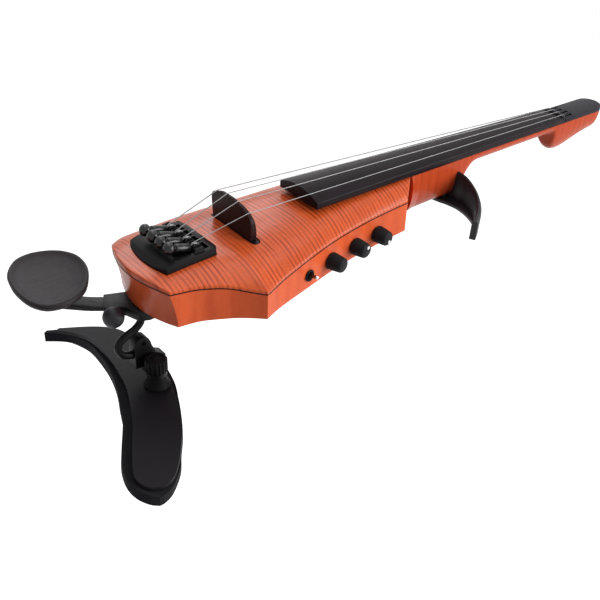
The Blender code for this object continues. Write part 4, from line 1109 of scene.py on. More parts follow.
@dataclass
class BodyShell:
    """Body, dark line, top plate, and what is let into the back and the side."""

    wood: Finish
    side_wood: Finish
    line: Finish
    cover: Finish
    metal: Finish
    columns: int = 96
    rows: int = 64
    plate: float = 4.0
    line_height: float = 0.9
    top_edge: float = 1.6
    cover_screws: tuple[Point, ...] = ((17.5, -34), (17.5, 20), (129, -22), (129, 20))
    neck_well_over: float = 40.0
    tuner_well_floor: float = 26.7
    bridge_well_floor: float = 27.7
    bay_depth: float = 2.0
    cover_screw_head: float = 1.4
    jack_place: float = 90.0
    jack_flange: float = 8.6
    jack_barrel: float = 5.6

    def build(self) -> None:
        """Builds all the shell's pieces."""
        self.body()
        self.dark_line()
        self.top()
        self.rear_cover()
        self.socket()

    def wells(self) -> list[Mesh]:
        """Cutters for the neck, the tuner block and the bridge's base."""
        x0 = BOARD.tenon_start - GAP
        x1 = BOARD.heel + self.neck_well_over
        h0, h1 = (BOARD.half(x) - BOARD.tenon_inset + GAP for x in (x0, x1))
        neck = upright([(x0, -h0), (x1, -h1), (x1, h1), (x0, h0)], BOARD.tenon_floor - GAP, OVER_ALL)
        tuner = upright(Outlines.tuner(GAP), self.tuner_well_floor, OVER_ALL)
        slot = Outlines.bridge_slot(BRIDGE_BASE_HALF + GAP, BRIDGE_BASE_RADIUS + GAP)
        return [neck, tuner, upright(slot, self.bridge_well_floor, OVER_ALL)]

    def jack_seat(self) -> Vector:
        """The middle of the flat seat of the output socket."""
        place, _ = PLAN.side_frame(self.jack_place, Side.BASS, CONTROL_HEIGHT)
        return place - Vector((0, 1.1, 0))

    def body(self) -> None:
        """The body: sides that follow the plan down to a flat back, cut under at the tail."""
        sink = self.plate + self.line_height + GAP
        lift = -self.line_height / 2 - GAP / 2

        def place(along: float, across: float, up: float) -> Vector:
            high = PLAN.point(along, across, sink, lift)
            return Vector((high.x + PLAN.tucked(along) * (1 - up**1.6), high.y, high.z * up))

        mesh = thick(self.columns, self.rows, place, layers=6, rounded=0.9, rounded_layers=(0.0,))
        cutters = self.wells() + [upright(Outlines.cover(GAP), -5, self.bay_depth + GAP)]
        for x in (TOGGLE_PLACE, *KNOB_PLACES):
            spot, out = PLAN.side_frame(x, Side.TREBLE, CONTROL_HEIGHT)
            cutters.append(drill(spot - out * 9, spot + out * 9, CONTROL_HOLE))
        seat = self.jack_seat()
        outside = seat + Vector((0, 12, 0))
        cutters.append(drill(seat, outside, self.jack_flange + GAP, 48))
        cutters.append(drill(seat - Vector((0, 28, 0)), outside, self.jack_barrel + GAP))
        standing_for("body", carved(mesh, *cutters), self.side_wood)

    def dark_line(self) -> None:
        """The thin dark layer under the top."""
        half = self.line_height / 2

        def place(along: float, across: float, up: float) -> Vector:
            low = PLAN.point(along, across, self.plate + self.line_height, -half)
            high = PLAN.point(along, across, self.plate + GAP, half - GAP / 2)
            point = low.lerp(high, up)
            if abs(PLAN.across(across)) > 0.999:
                point.y += math.copysign(0.1, point.y)
            return point

        mesh = thick(self.columns, self.rows, place)
        standing_for("binding_line", carved(mesh, *self.wells()), self.line)

    def top(self) -> None:
        """The arched top plate with a softly rounded edge."""
        half = self.line_height / 2

        def place(along: float, across: float, up: float) -> Vector:
            low = PLAN.point(along, across, self.plate, half)
            return low.lerp(PLAN.point(along, across, 0, half + self.top_edge), up)

        mesh = thick(self.columns, self.rows, place, rounded=0.7)
        standing_for("top_plate", carved(mesh, *self.wells()), self.wood)

    def rear_cover(self) -> None:
        """The cover of the control bay with its four screws."""
        mesh = rounded_edges(upright(Outlines.cover(), 0, self.bay_depth), 0.4)
        cutters = []
        for x, y in self.cover_screws:
            cutters.append(drill((x, y, -1), (x, y, 5), 1.55, 24))
            cutters.append(drill((x, y, -1), (x, y, self.cover_screw_head), 2.6, 24))
        standing_for("rear_cover", carved(mesh, *cutters), self.cover)
        for i, (x, y) in enumerate(self.cover_screws):
            seat = (x, y, self.cover_screw_head)
            CrossScrew(f"cover_screw_{i + 1}", self.metal, seat, 2.3, 1.3, 1.25, 8.5).build()

    def socket(self) -> None:
        """The output socket, open at its outer end."""
        barrel = self.jack_barrel
        flange = self.jack_flange
        profile = [(-26, 0), (-26, barrel), (GAP, barrel), (GAP, flange), (1.5, flange), (2.2, 7.9)]
        profile += [(2.2, 6.1), (2.9, 5.9), (2.9, 3.7), (2.6, 3.4), (-20, 3.4), (-20, 0)]
        mesh = revolved(profile, self.jack_seat(), (0, 1, 0))
        standing_for("output_jack", mesh, self.metal, edge=0.15)


@dataclass
class CrossScrew:
    """A screw from below with a cross recess in its head."""

    name: str
    finish: Finish
    seat: tuple[float, float, float]
    head: float
    head_height: float
    shank: float
    length: float

    def build(self) -> None:
        """The turned screw, cut by two crossing slots."""
        high = self.head_height
        head = self.head
        profile = [(-high, 0), (-high, head * 0.62), (-high * 0.8, head * 0.86), (-high * 0.4, head)]
        profile += [(-GAP, head), (-GAP, self.shank), (self.length, self.shank), (self.length, 0)]
        mesh = revolved(profile, self.seat, (0, 0, 1), 32)
        x, y, z = self.seat
        arm = head * 0.55
        slit = head * 0.13
        depth = (z - high - 1, z - high * 0.45)
        cross = [brick((x - arm, x + arm), (y - slit, y + slit), depth)]
        cross.append(brick((x - slit, x + slit), (y - arm, y + arm), depth))
        standing_for(self.name, carved(mesh, *cross), self.finish)


@dataclass
class NeckAndHead:
    """Neck with its heel and volute, fingerboard, nut and the head plate."""

    wood: Finish
    board: Finish
    plate: Finish
    metal: Finish
    nut_spacing: float = 5.7
    nut_heights: tuple[float, ...] = (36.3, 37.1, 37.2, 36.6)
    anchor: float = 370.0
    plate_rows: int = 44
    plate_side: float = 4.2
    board_side: float = 5.4
    board_side_end: float = 4.9
    heel_flare: float = 2.6
    flare_length: float = 10.0
    flare_depth: float = 8.0
    squareness: float = 3.6
    squareness_lost: float = 1.3
    grip_start: float = 218.0
    grip_blend: float = 25.0
    volute_start: float = 349.0
    below: Track = Track(
        [
            (160.4, 0.4), (190, 0.4), (214, 0.4), (218, 0.9), (223, 3.0), (227, 9.0), (230, 14.5),
            (233.5, 19.5), (237, 22.2), (243, 23.2), (252, 22.9), (300, 21.8), (335, 20.9), (343, 20.4),
            (346, 19.7), (347.4, 17.4), (348.5, 11.4), (350.2, 6.3), (353.5, 2.4), (358.5, 0.7), (364, 0.5),
            (371, 1.5), (383, 4.7), (397, 7.9), (407, 9.5), (409.6, 10.1), (410.6, 10.7), (411.6, 12.4),
            (416, 18.4), (419, 23.6),
        ]
    )

    def build(self) -> None:
        """Builds the neck and all that it carries."""
        self.neck()
        self.fingerboard()
        self.nut()
        self.head()

    def section(self, x: float, half: float, floor: float, power: float, share: float) -> Vector:
        """A point of a section of the neck: flat above, rounded below.

        Args:
            x: The section's place along the neck.
            half: Half its width.
            floor: Its lowest height.
            power: How square the rounding is; 2 is an ellipse.
            share: The share round the section.

        Returns:
            The point.
        """
        roof = BOARD.floor(x) - GAP
        if share <= 0.75:
            turn = math.pi * share / 0.75
            across = abs(math.cos(turn)) ** (2 / power)
            down = max(0.0, math.sin(turn)) ** (2 / power)
            return Vector((x, -math.copysign(half * across, math.cos(turn)), roof - (roof - floor) * down))
        return Vector((x, half - 2 * half * (share - 0.75) / 0.25, roof))

    def neck(self) -> None:
        """The neck from its tenon in the body to the tip of the head."""
        turn = self.volute_start
        tip = BOARD.head_end - 0.2
        heel = [BOARD.heel + i * (turn - BOARD.heel) / 130 for i in range(131)]
        volute = [turn + (tip - turn) * (i / 90) for i in range(1, 91)]
        stations = [BOARD.tenon_start, BOARD.heel - GAP] + heel + volute
        last = len(stations) - 1

        def place(along: float, around: float) -> Vector:
            x = stations[round(along * last)]
            if x < BOARD.heel:
                return self.section(x, BOARD.half(x) - BOARD.tenon_inset, BOARD.tenon_floor, 20, around)
            half = BOARD.half(x) - GAP
            grip = min(1.0, max(0.0, x - self.grip_start) / self.grip_blend)
            power = self.squareness - self.squareness_lost * grip
            point = self.section(x, half, self.below.at(x), power, around)
            flare = self.heel_flare * max(0.0, 1 - (x - BOARD.heel) / self.flare_length)
            drop = max(0.0, BOARD.floor(x) - GAP - point.z)
            point.y += flare * min(1.0, drop / self.flare_depth) ** 0.5 * point.y / half
            return point

        mesh = ringed(last, 64, place)
        for spot in HEEL_SCREWS:
            mesh = carved(mesh, drill((*spot, -1), (*spot, 9.5), 1.8, 24))
        standing_for("neck", mesh, self.wood, smooth_angle=50)

    def plate_point(self, x: float, half: float, around: float, rise: Callable[[float], float]) -> Vector:
        """A point of a section with a flat underside, upright sides and a roof.

        Args:
            x: The section's place along the instrument.
            half: Half its width.
            around: The share round the section, from the roof's treble edge.
            rise: The roof's height above the underside at a place across.

        Returns:
            The point.
        """
        k = round(around * self.plate_rows) % self.plate_rows
        roof = self.plate_rows * 3 // 4
        if k <= roof:
            y = half * (2 * k / roof - 1)
            return Vector((x, y, BOARD.floor(x) + rise(y)))
        share = (k - roof - 1) / (self.plate_rows - roof - 2)
        return Vector((x, half - 2 * half * share, BOARD.floor(x)))

    def fingerboard(self) -> None:
        """The long ebony board, arched across, with upright sides that grow lower towards the nut."""

        def place(along: float, around: float) -> Vector:
            x = BOARD.start + (BOARD.nut - BOARD.start) * along
            half = BOARD.half(x)
            side = self.board_side + (self.board_side_end - self.board_side) * along
            arch = BOARD.edge + BOARD.arch(half, 0) - side
            radius = (half**2 + arch**2) / (2 * arch)
            crown = side + arch - radius
            return self.plate_point(x, half, around, lambda y: crown + math.sqrt(radius**2 - y * y))

        mesh = rounded_edges(ringed(24, self.plate_rows, place), 1.0, 4, 50)
        standing_for("fingerboard", mesh, self.board)

    def nut(self) -> None:
        """The nut, arched under the strings, with a groove for each."""
        start = BOARD.nut + GAP
        floor = BOARD.floor(start)
        shoulder = floor + BOARD.edge + 0.4
        half = BOARD.half_nut - GAP
        heights = [h - r - 0.15 for h, r in zip(self.nut_heights, STRING_RADII)]
        crowns = [(share * self.nut_spacing, height + 0.35) for share, height in zip(ACROSS, heights)]
        crest = smooth([(-half, shoulder), *crowns, (half, shoulder)], 6)
        outline = [(start, -half, floor)] + [(start, p.x, p.y) for p in crest] + [(start, half, floor)]
        mesh = rounded_edges(raised(outline, (BOARD.nut_length, 0, 0)), 0.3)
        grooves = []
        for share, height, radius in zip(ACROSS, heights, STRING_RADII):
            y = share * self.nut_spacing
            enter = (start - 2, y, height + radius + 0.25)
            grooves.append(drill(enter, (start + 6, y, height + radius), radius + 0.12, 16))
        standing_for("nut", carved(mesh, *grooves), self.plate)

    def anchors(self) -> list[Point]:
        """Where each string ends in the head plate."""
        return [(self.anchor + i % 2, ACROSS[i] * self.nut_spacing) for i in range(4)]

    def head(self) -> None:
        """The black plate of the head with a slot and a pocket for each string's ball."""
        start = BOARD.nut + BOARD.nut_length + 2 * GAP
        tip = BOARD.tip_start
        turns = [math.sin(math.pi / 2 * i / 18) for i in range(19)]
        stations = [start, start + 20] + [tip + (BOARD.head_end - tip) * turn for turn in turns]
        last = len(stations) - 1

        def place(along: float, around: float) -> Vector:
            x = stations[round(along * last)]
            half = BOARD.half(x)
            crown = min(1.0, half / 8)
            side = self.plate_side
            return self.plate_point(x, half, around, lambda y: side + crown * (1 - (y / half) ** 2))

        mesh = rounded_edges(ringed(last, self.plate_rows, place), 0.4, 3, 50)
        cutters = []
        for x, y in self.anchors():
            floor = BOARD.floor(x)
            cutters.append(brick((start - 2, x), (y - 1.1, y + 1.1), (floor + 1.1, OVER_ALL)))
            cutters.append(drill((x, y, floor + 0.9), (x, y, OVER_ALL), 1.6))
        standing_for("head_plate", carved(mesh, *cutters), self.plate)
        for i, (x, y) in enumerate(self.anchors()):
            ball = [(-1.0, 0), (-1.0, 0.6), (-0.8, 0.85), (0.8, 0.85), (1.0, 0.6), (1.0, 0)]
            mesh = revolved(ball, (x + 0.3, y, BOARD.floor(x) + 1.9), (0, 1, 0), 24)
            Piece(f"string_ball_{i + 1}", mesh, self.metal).place()


@dataclass
class BridgeSet:
    """The bridge blade and the slotted base that it stands in."""

    wood: Finish
    base: Finish
    spacing: float = 12.5
    heights: tuple[float, ...] = (56.2, 60.1, 61.0, 58.4)
    foot: float = 35.5
    crest: float = 61.7
    half_crest: float = 1.1
    taper: float = 0.13
    back_taper: float = 0.02

    def build(self) -> None:
        """Builds the blade and its base."""
        foot = self.foot
        crowns = [(a * self.spacing, h - r - 0.4) for a, h, r in zip(ACROSS, self.heights, STRING_RADII)]
        edge = [(-22.4, foot), (-23.6, 42.4), (-23.7, 47.4), (-22.6, 51.6), crowns[0], (-12.5, 58.4)]
        edge += [crowns[1], (0, 60.4), crowns[2], (12.5, 59.9), crowns[3], (22.4, 56.3), (24.6, 53.4)]
        edge += [(24.4, 46), (22.6, foot)]
        outline = [(0.0, p.x, p.y) for p in smooth(edge, 6)]
        mesh = raised(outline, (1, 0, 0))
        for vert in mesh.verts:
            drop = self.crest - vert.co.z
            if vert.co.x > 0.5:
                vert.co.x = self.half_crest + self.taper * drop
            else:
                vert.co.x = -self.half_crest - self.back_taper * drop
        standing_for("bridge", mesh, self.wood, edge=0.45, edge_steps=3, edge_angle=50)
        slot = Outlines.bridge_slot(BRIDGE_BASE_HALF, BRIDGE_BASE_RADIUS)
        base = upright(slot, 28, foot - GAP)
        standing_for("bridge_base", base, self.base, edge=0.6, edge_steps=3, edge_angle=50)


@dataclass
class Tuners:
    """The tuner block with its four worm barrels, finger knobs and drums."""

    metal: Finish
    knob: Finish
    spacing: float = 10.0
    drum: Point = (-42.6, 42.0)
    knob_centre: Point = (-63.0, 48.2)
    deck: float = 41.2
    trough_half: float = 4.1
    trough_floor: float = 37.2

    def build(self) -> None:
        """Builds the block and its moving parts."""
        self.block()
        for i in range(4):
            self.finger_knob(i)
            self.string_drum(i)

    def block(self) -> None:
        """The block: a low bowed tail, a flat top and a trough for each tuner."""
        deck = self.deck
        tail = smooth([(-80, 35.9), (-75.4, 36.4), (-70, 38.8), (-65, 40.4), (-60, deck)], 6)
        bearings = [(-47, deck), (-46.4, 43.4), (-45.4, 44.4), (-39.8, 44.4), (-38.8, 43.4), (-38.2, deck)]
        front = [(-31, deck), (-27.5, 39.2), (-20, 38), (-20, OVER_ALL), (-90, OVER_ALL), (-90, 35.9)]
        over = sideways(tail + bearings + front, -40, 40)
        beside = [brick((-50, -36), sorted((side * 21.2, side * 40)), (deck, OVER_ALL)) for side in (-1, 1)]
        mesh = carved(upright(Outlines.tuner(), 27, 50), over, *beside)
        mesh = rounded_edges(mesh, 0.5, 2, 38)
        cutters = []
        for share in ACROSS:
            y = share * self.spacing
            half = self.trough_half
            cutters.append(brick((-60.4, -33.5), (y - half, y + half), (self.trough_floor, OVER_ALL)))
            x, z = self.drum
            cutters.append(drill((x, y - 4.9, z), (x, y + 4.9, z), 1.45, 24))
        standing_for("tuner_block", carved(mesh, *cutters), self.metal)

    def finger_knob(self, i: int) -> None:
        """A round finger knob on its barrel.

        Args:
            i: The tuner's number, from 0 on the treble side.
        """
        x, z = self.knob_centre
        along = Vector((x - self.drum[0], 0, z - self.drum[1])).normalized()
        knob = [(-4.4, 0), (-4.2, 1.4), (-3.7, 2.5), (-2.7, 3.6), (-1.4, 4.3), (0, 4.5), (1.0, 4.3)]
        neck = [(1.9, 3.7), (2.6, 2.8), (3.2, 2.3), (4.5, 2.2), (4.8, 2.8)]
        barrel = [(5.2, 3.0), (16.2, 3.0), (16.6, 2.7), (16.6, 0)]
        place = (x, ACROSS[i] * self.spacing, z)
        node = f"tuner_knob_{i + 1}"
        standing_for(node, revolved(knob + neck + barrel, place, -along), self.knob, node)

    def string_drum(self, i: int) -> None:
        """The drum that winds one string.

        Args:
            i: The tuner's number, from 0 on the treble side.
        """
        end = [(4.75, 0), (4.75, 1.2), (3.7, 1.2), (3.7, 3.8), (3.5, 4.0), (3.0, 3.9), (2.9, 3.1)]
        profile = [(-along, radius) for along, radius in end] + end[::-1]
        place = (self.drum[0], ACROSS[i] * self.spacing, self.drum[1])
        node = f"string_drum_{i + 1}"
        standing_for(node, revolved(profile, place, (0, 1, 0), 40), self.metal, node)


@dataclass
class Strings:
    """Four strings from their drums over bridge and nut into the head plate."""

    wire_finish: Finish
    tuners: Tuners
    bridge: BridgeSet
    head: NeckAndHead
    drum_radius: float = 3.1
    loops: int = 2
    steps: int = 48

    def build(self) -> None:
        """Builds the four strings."""
        for i in range(4):
            mesh = wire(self.path(i), STRING_RADII[i], 4)
            standing_for(f"string_{i + 1}", mesh, self.wire_finish, smooth_angle=80)

    def path(self, i: int) -> list[Vector]:
        """The way of one string, windings first.

        Args:
            i: The string's number, from 0 on the treble side.

        Returns:
            The points of the string's middle line.
        """
        radius = STRING_RADII[i]
        x_drum, z_drum = self.tuners.drum
        y_drum = ACROSS[i] * self.tuners.spacing
        loop = self.drum_radius + radius + 0.12
        pitch = 2 * radius + 0.45
        over = Vector((0, ACROSS[i] * self.bridge.spacing, self.bridge.heights[i]))
        leave = math.pi / 2 + math.atan((over.z - z_drum) / (0 - x_drum))
        start = leave + 2 * math.pi * self.loops
        path = []
        for k in range(self.loops * self.steps + 1):
            turn = start - 2 * math.pi * k / self.steps
            y = y_drum + pitch * (k / self.steps - self.loops / 2)
            path.append(Vector((x_drum + loop * math.cos(turn), y, z_drum + loop * math.sin(turn))))
        last = path[-1]
        path += [last.lerp(over, share) for share in (0.5, 0.96, 1.0)]
        nut = Vector((BOARD.nut + 1.5, ACROSS[i] * self.head.nut_spacing, self.head.nut_heights[i]))
        path += [over.lerp(nut, share) for share in (0.012, 0.5, 0.99, 1.0)]
        x, y = self.head.anchors()[i]
        path.append(Vector((BOARD.nut + 4.0, nut.y, nut.z - 0.3)))
        path.append(Vector((BOARD.nut + 9.0, y, BOARD.floor(x) + 2.0 + radius)))
        path.append(Vector((x + 0.4, y, BOARD.floor(x) + 1.6 + radius)))
        return path


@dataclass
class Controls:
    """The three knobs, their shafts, and the selector switch on the treble side."""

    knob: Finish
    mark: Finish
    metal: Finish
    lever: Finish
    switch: Finish
    mark_turns: tuple[float | None, ...] = (None, 56.0, 292.0)
    wall: float = 6.3
    ribs: int = 28
    rib_depth: float = 0.026
    face: float = 12.15
    dot_spoke: float = 3.0
    lean: float = 0.12

    def build(self) -> None:
        """Builds the knobs, shafts and the switch."""
        for i in range(3):
            self.control_knob(i)
            self.shaft(i)
        self.selector()

    def control_knob(self, i: int) -> None:
        """A knob with fine ribs up its side and, where it has a mark, a pale dot on its rim.

        Args:
            i: The knob's number, from 0 at the tail.
        """
        place, out = PLAN.side_frame(KNOB_PLACES[i], Side.TREBLE, CONTROL_HEIGHT)
        skirt = [(0.8, 0), (0.8, 6.5), (1.0, 6.7), (1.5, 6.75), (1.9, 6.65), (2.3, 6.5), (3.0, 6.45)]
        top = [(10.8, 5.65), (11.4, 5.5), (11.9, 5.15), (12.2, 4.7), (12.2, 0)]

        def shape(point: Vector) -> Vector:
            if 2.6 < point.z < 11.2:
                turn = math.atan2(point.y, point.x)
                factor = 1 + self.rib_depth * math.cos(self.ribs * turn)
                return Vector((point.x * factor, point.y * factor, point.z))
            return point

        mesh = revolved(skirt + top, place, out, self.ribs * 8, shape)
        node = f"control_knob_{i + 1}"
        standing_for(node, mesh, self.knob, node, smooth_angle=35)
        if self.mark_turns[i] is None:
            return
        turn = math.radians(self.mark_turns[i])
        right = out.cross(UP)
        spoke = (-right * math.cos(turn) + UP * math.sin(turn)).normalized()
        centre = place + out * self.face + spoke * self.dot_spoke
        dot = revolved([(-0.6, 0), (-0.6, 1.4), (0.1, 1.4), (0.22, 1.2), (0.25, 0)], centre, out, 24)
        Piece(f"{node}_dot", dot, self.mark, node).place()

    def shaft(self, i: int) -> None:
        """A control's body in the bay, its threaded neck and shaft.

        Args:
            i: The control's number, from 0 at the tail.
        """
        spot, out = PLAN.side_frame(KNOB_PLACES[i], Side.TREBLE, CONTROL_HEIGHT)
        inner = spot - out * (self.wall + GAP)
        depth = self.wall + GAP
        neck = CONTROL_HOLE - GAP
        profile = [(-8.5, 0), (-8.5, 7.4), (-8.1, 7.8), (-0.4, 7.8), (0, 7.4), (0, neck), (depth, neck)]
        profile += [(depth, 2.6), (depth + 8, 2.6), (depth + 8, 0)]
        standing_for(f"control_pot_{i + 1}", revolved(profile, inner, out, 40), self.metal)

    def selector(self) -> None:
        """The switch with its dished washer, and its lever."""
        spot, out = PLAN.side_frame(TOGGLE_PLACE, Side.TREBLE, CONTROL_HEIGHT)
        depth = self.wall + GAP
        neck = CONTROL_HOLE - GAP
        profile = [(-9, 0), (-9, 5.5), (0, 5.5), (0, neck), (depth + 0.5, neck)]
        washer = [(0.5, 4.6), (1.2, 4.6), (1.6, 4.3), (1.7, 3.9), (0.9, 3.0), (-3.8, 2.2), (-4, 0)]
        profile += [(depth + along, radius) for along, radius in washer]
        switch = revolved(profile, spot - out * depth, out, 48)
        standing_for("toggle_switch", switch, self.switch)
        lean = (out + UP * self.lean).normalized()
        base = spot - out * 1.6
        profile = [(-1.4, 0), (-1.2, 1.0), (1.5, 0.95), (5.6, 1.15), (8.6, 1.35), (8.6, 0)]
        lever = revolved(profile, base, lean, 32)
        standing_for("toggle_lever", lever, self.lever, "toggle_lever")
        profile = [(8.65, 0), (8.65, 1.35), (9.2, 1.3), (9.7, 1.0), (9.9, 0.5), (9.95, 0)]
        Piece("toggle_tip", revolved(profile, base, lean, 32), self.metal, "toggle_lever").place()


@dataclass
class BodyRest:
    """The crescent bracket under the heel."""

    metal: Finish
    screw: Finish
    outer: tuple[Point, ...] = (
        (218, 12), (218, -8), (217.5, -17.6), (217.2, -27.5), (213, -40.5), (205.5, -53), (195.2, -64),
        (183, -72.3),
    )
    inner: tuple[Point, ...] = (
        (201, 12), (203.5, -8), (206, -18), (207, -28), (205, -39.5), (200, -51.5), (192.5, -61.5),
        (181.5, -70.6),
    )
    wall_top: tuple[float, ...] = (24.5, 24.5, 24.3, 22.8, 20.0, 17.6, 15.6, 13.4)
    wall_start: int = 10
    wall_foot: float = -3.0
    wall_thickness: float = 3.2
    tip_thickening: float = 2.0
    tip_columns: int = 25
    flange_low: float = -3.4
    heel_half: float = 16.7
    heel_low: float = 0.4
    heel_depth: float = 34.1
    room_beside: float = 30.0

    def build(self) -> None:
        """A flange under the heel joined with a curved wall that falls to its tip."""
        outer = smooth(self.outer, 10)
        inner = smooth(self.inner, 10)
        flange = upright(outer + inner[::-1], self.flange_low, -GAP)
        heights = smooth(list(enumerate(self.wall_top)), 10)
        first = self.wall_start
        last = len(outer) - 1

        def place(along: float, around: float) -> Vector:
            k = first + round(along * (last - first))
            ahead = (outer[min(k + 1, last)] - outer[k - 1]).normalized()
            inward = Vector((-ahead.y, ahead.x))
            if inward.x > 0:
                inward = -inward
            near_tip = max(0.0, 1 - (last - k) / self.tip_columns)
            thickness = self.wall_thickness + self.tip_thickening * near_tip
            high = min(heights[k].y, self.room_under_heel(outer[k].y))
            corner = round(around * 12) % 12
            up = (0, 0.25, 0.5, 0.75, 0.92, 1, 1, 0.92, 0.75, 0.5, 0.25, 0)[corner]
            inside = (0, 0, 0, 0, 0.06, 0.3, 0.7, 0.94, 1, 1, 1, 1)[corner]
            edge = outer[k] + inward * (thickness * inside - 0.05 * high * up)
            return Vector((edge.x, edge.y, self.wall_foot + (high - self.wall_foot) * up))

        wall = ringed(last - first, 12, place)
        mesh = fused(rounded_edges(flange, 0.5, 2, 50), wall)
        for spot in HEEL_SCREWS:
            mesh = carved(mesh, drill((*spot, -9), (*spot, 5), 1.8, 24))
        standing_for("body_rest", mesh, self.metal)
        for i, spot in enumerate(HEEL_SCREWS):
            seat = (*spot, self.flange_low)
            CrossScrew(f"body_rest_screw_{i + 1}", self.screw, seat, 2.8, 1.2, 1.5, 12).build()

    def room_under_heel(self, y: float) -> float:
        """The height free for the wall under the heel's round side, at y from its middle.

        Args:
            y: The place across the heel.

        Returns:
            The height.
        """
        across = min(1.0, abs(y) / self.heel_half) ** 1.8
        if across >= 1.0:
            return self.room_beside
        return self.heel_low + self.heel_depth * (1 - (1 - across**2) ** 0.278)


@dataclass
class ChinRest:
    """Mounting plate, swinging arm with its clamp knob, and the dished chin rest."""

    metal: Finish
    knob: Finish
    dish: Finish
    screw: Finish
    pivot: Point = (-90.4, 18.5)
    clamp_heading: float = math.radians(-119)
    clamp_reach: float = 16.5
    clamp_face: float = 9.95
    clamp_screw: float = 1.8
    clamp_radius: float = 7.7
    arm_line: tuple[Point, ...] = ((-103.0, 27.5), (-111.0, 35.0), (-119.5, 43.0))
    arm_half: float = 6.5
    arm_low: float = -6.0
    arm_high: float = -2.4
    swing: float = math.radians(14)
    swing_reach: float = 30.0
    post_top: float = 15.2
    plate_low: float = -8.3
    centre: Point = (-126.0, 36.0)
    top: float = 24.0
    thickness: float = 8.0
    edge: tuple[Point, ...] = (
        (-154, 26), (-153.5, 39), (-149, 56), (-138.5, 68.5), (-127, 72), (-115.5, 69.5), (-106, 63.5),
        (-100, 55), (-98, 46), (-99.5, 34), (-105, 22), (-114, 9.5), (-125, 2.8), (-136, 1), (-146, 4.5),
        (-152, 14),
    )

    def build(self) -> None:
        """Builds the four pieces and the plate's screws."""
        self.plate()
        self.arm()
        self.clamp()
        self.rest()

    def pivot_frame(self) -> tuple[Vector, Vector, Vector]:
        """The arm's pivot from above, the way to the arm's first bend and the way to its left."""
        pivot = Vector(self.pivot)
        ahead = (Vector(self.arm_line[0]) - pivot).normalized()
        return pivot, ahead, Vector((-ahead.y, ahead.x))

    def round_end(self, radius: float, steps: int = 24) -> list[Vector]:
        """The arm's round end behind its pivot.

        Args:
            radius: The end's radius.
            steps: Chords round the half circle.

        Returns:
            The points between its two ends.
        """
        pivot, ahead, side = self.pivot_frame()
        turns = [math.pi * k / steps for k in range(1, steps)]
        return [pivot - (side * math.cos(t) + ahead * math.sin(t)) * radius for t in turns]

    def clamp_line(self) -> tuple[Vector, Vector]:
        """The clamp screw's line: its end at the arm's pivot, and its direction out to the knob."""
        start = Vector((*self.pivot, (self.arm_low + self.arm_high) / 2))
        return start, Vector((math.cos(self.clamp_heading), math.sin(self.clamp_heading), 0))

    def plate(self) -> None:
        """The plate under the tail, with the room for the arm's swing."""
        outline = [(-56, 16), (-79, 22.5), (-92.5, 28), (-101, 13), (-88, 5.6), (-84, -6), (-77, -9)]
        outline.append((-56, -9))
        mesh = rounded_edges(upright(outline, self.plate_low, -GAP), 0.7, 3)
        pivot, ahead, side = self.pivot_frame()
        radius = self.arm_half + GAP
        wide = radius / math.cos(self.swing) + self.swing_reach * math.tan(self.swing)
        far = pivot + ahead * self.swing_reach
        room = [pivot + side * radius, far + side * wide, far - side * wide, pivot - side * radius]
        room += self.round_end(radius)
        start, out = self.clamp_line()
        cutters = [upright(room, self.arm_low - GAP, self.arm_high + GAP)]
        cutters.append(drill((*ROD_SPOT, -20), (*ROD_SPOT, -1.8), ROD_RADIUS + GAP))
        cutters.append(drill(start, start + out * self.clamp_reach, self.clamp_screw + GAP))
        for spot in TAIL_SCREWS:
            cutters.append(drill((*spot, -20), (*spot, 5), 1.9, 24))
        standing_for("mounting_plate", carved(mesh, *cutters), self.metal)
        for i, spot in enumerate(TAIL_SCREWS):
            seat = (*spot, self.plate_low)
            CrossScrew(f"mount_screw_{i + 1}", self.screw, seat, 3.0, 1.4, 1.6, 19.5).build()

    def arm(self) -> None:
        """The flat arm and the post that carries the chin rest."""
        centre = smooth([self.pivot, *self.arm_line], 8)
        last = len(centre) - 1
        left = []
        right = []
        for k, point in enumerate(centre):
            ahead = (centre[min(k + 1, last)] - centre[max(k - 1, 0)]).normalized()
            side = Vector((-ahead.y, ahead.x)) * self.arm_half
            left.append(point + side)
            right.append(point - side)
        outline = left + right[::-1] + self.round_end(self.arm_half)
        flat = rounded_edges(upright(outline, self.arm_low, self.arm_high), 0.4, 2, 50)
        mesh = fused(flat, drill((*POST_SPOT, -4), (*POST_SPOT, self.post_top), POST_RADIUS, 48))
        standing_for("rest_arm", mesh, self.metal, "chin_rest_arm")

    def clamp(self) -> None:
        """The round knob at the plate's side, whose screw presses on the arm beside its pivot."""
        start, out = self.clamp_line()
        radius = self.clamp_radius
        seat = self.clamp_reach - self.clamp_face - GAP
        end = self.clamp_reach - self.arm_half - 0.5
        turns = [math.pi * k / 32 for k in range(32)]
        ball = [(-radius * math.cos(turn), radius * math.sin(turn)) for turn in turns]
        profile = [point for point in ball if point[0] < seat - GAP]
        profile += [(seat, 4.3), (seat, self.clamp_screw), (end, self.clamp_screw), (end, 0)]
        profile[0] = (-radius, 0)
        place = start + out * self.clamp_reach
        standing_for("clamp_knob", revolved(profile, place, -out), self.knob, "clamp_knob")

    def rest(self) -> None:
        """The chin rest: a dish inside a full round rim."""
        around = round_trip(self.edge, 6)
        top = self.top
        low = top - self.thickness
        levels = [(0.0, low + 0.4), (0.5, low), (0.86, low + 1.4), (0.965, low + 3.2), (1.0, low + 5.4)]
        levels += [(0.985, low + 7.2), (0.95, top), (0.90, top - 0.3), (0.78, top - 1.6)]
        levels += [(0.45, top - 3.0), (0.0, top - 3.4)]
        rings = smooth(levels, 4)
        rings[0].x = 0.0
        rings[-1].x = 0.0
        last = len(rings) - 1
        count = len(around)

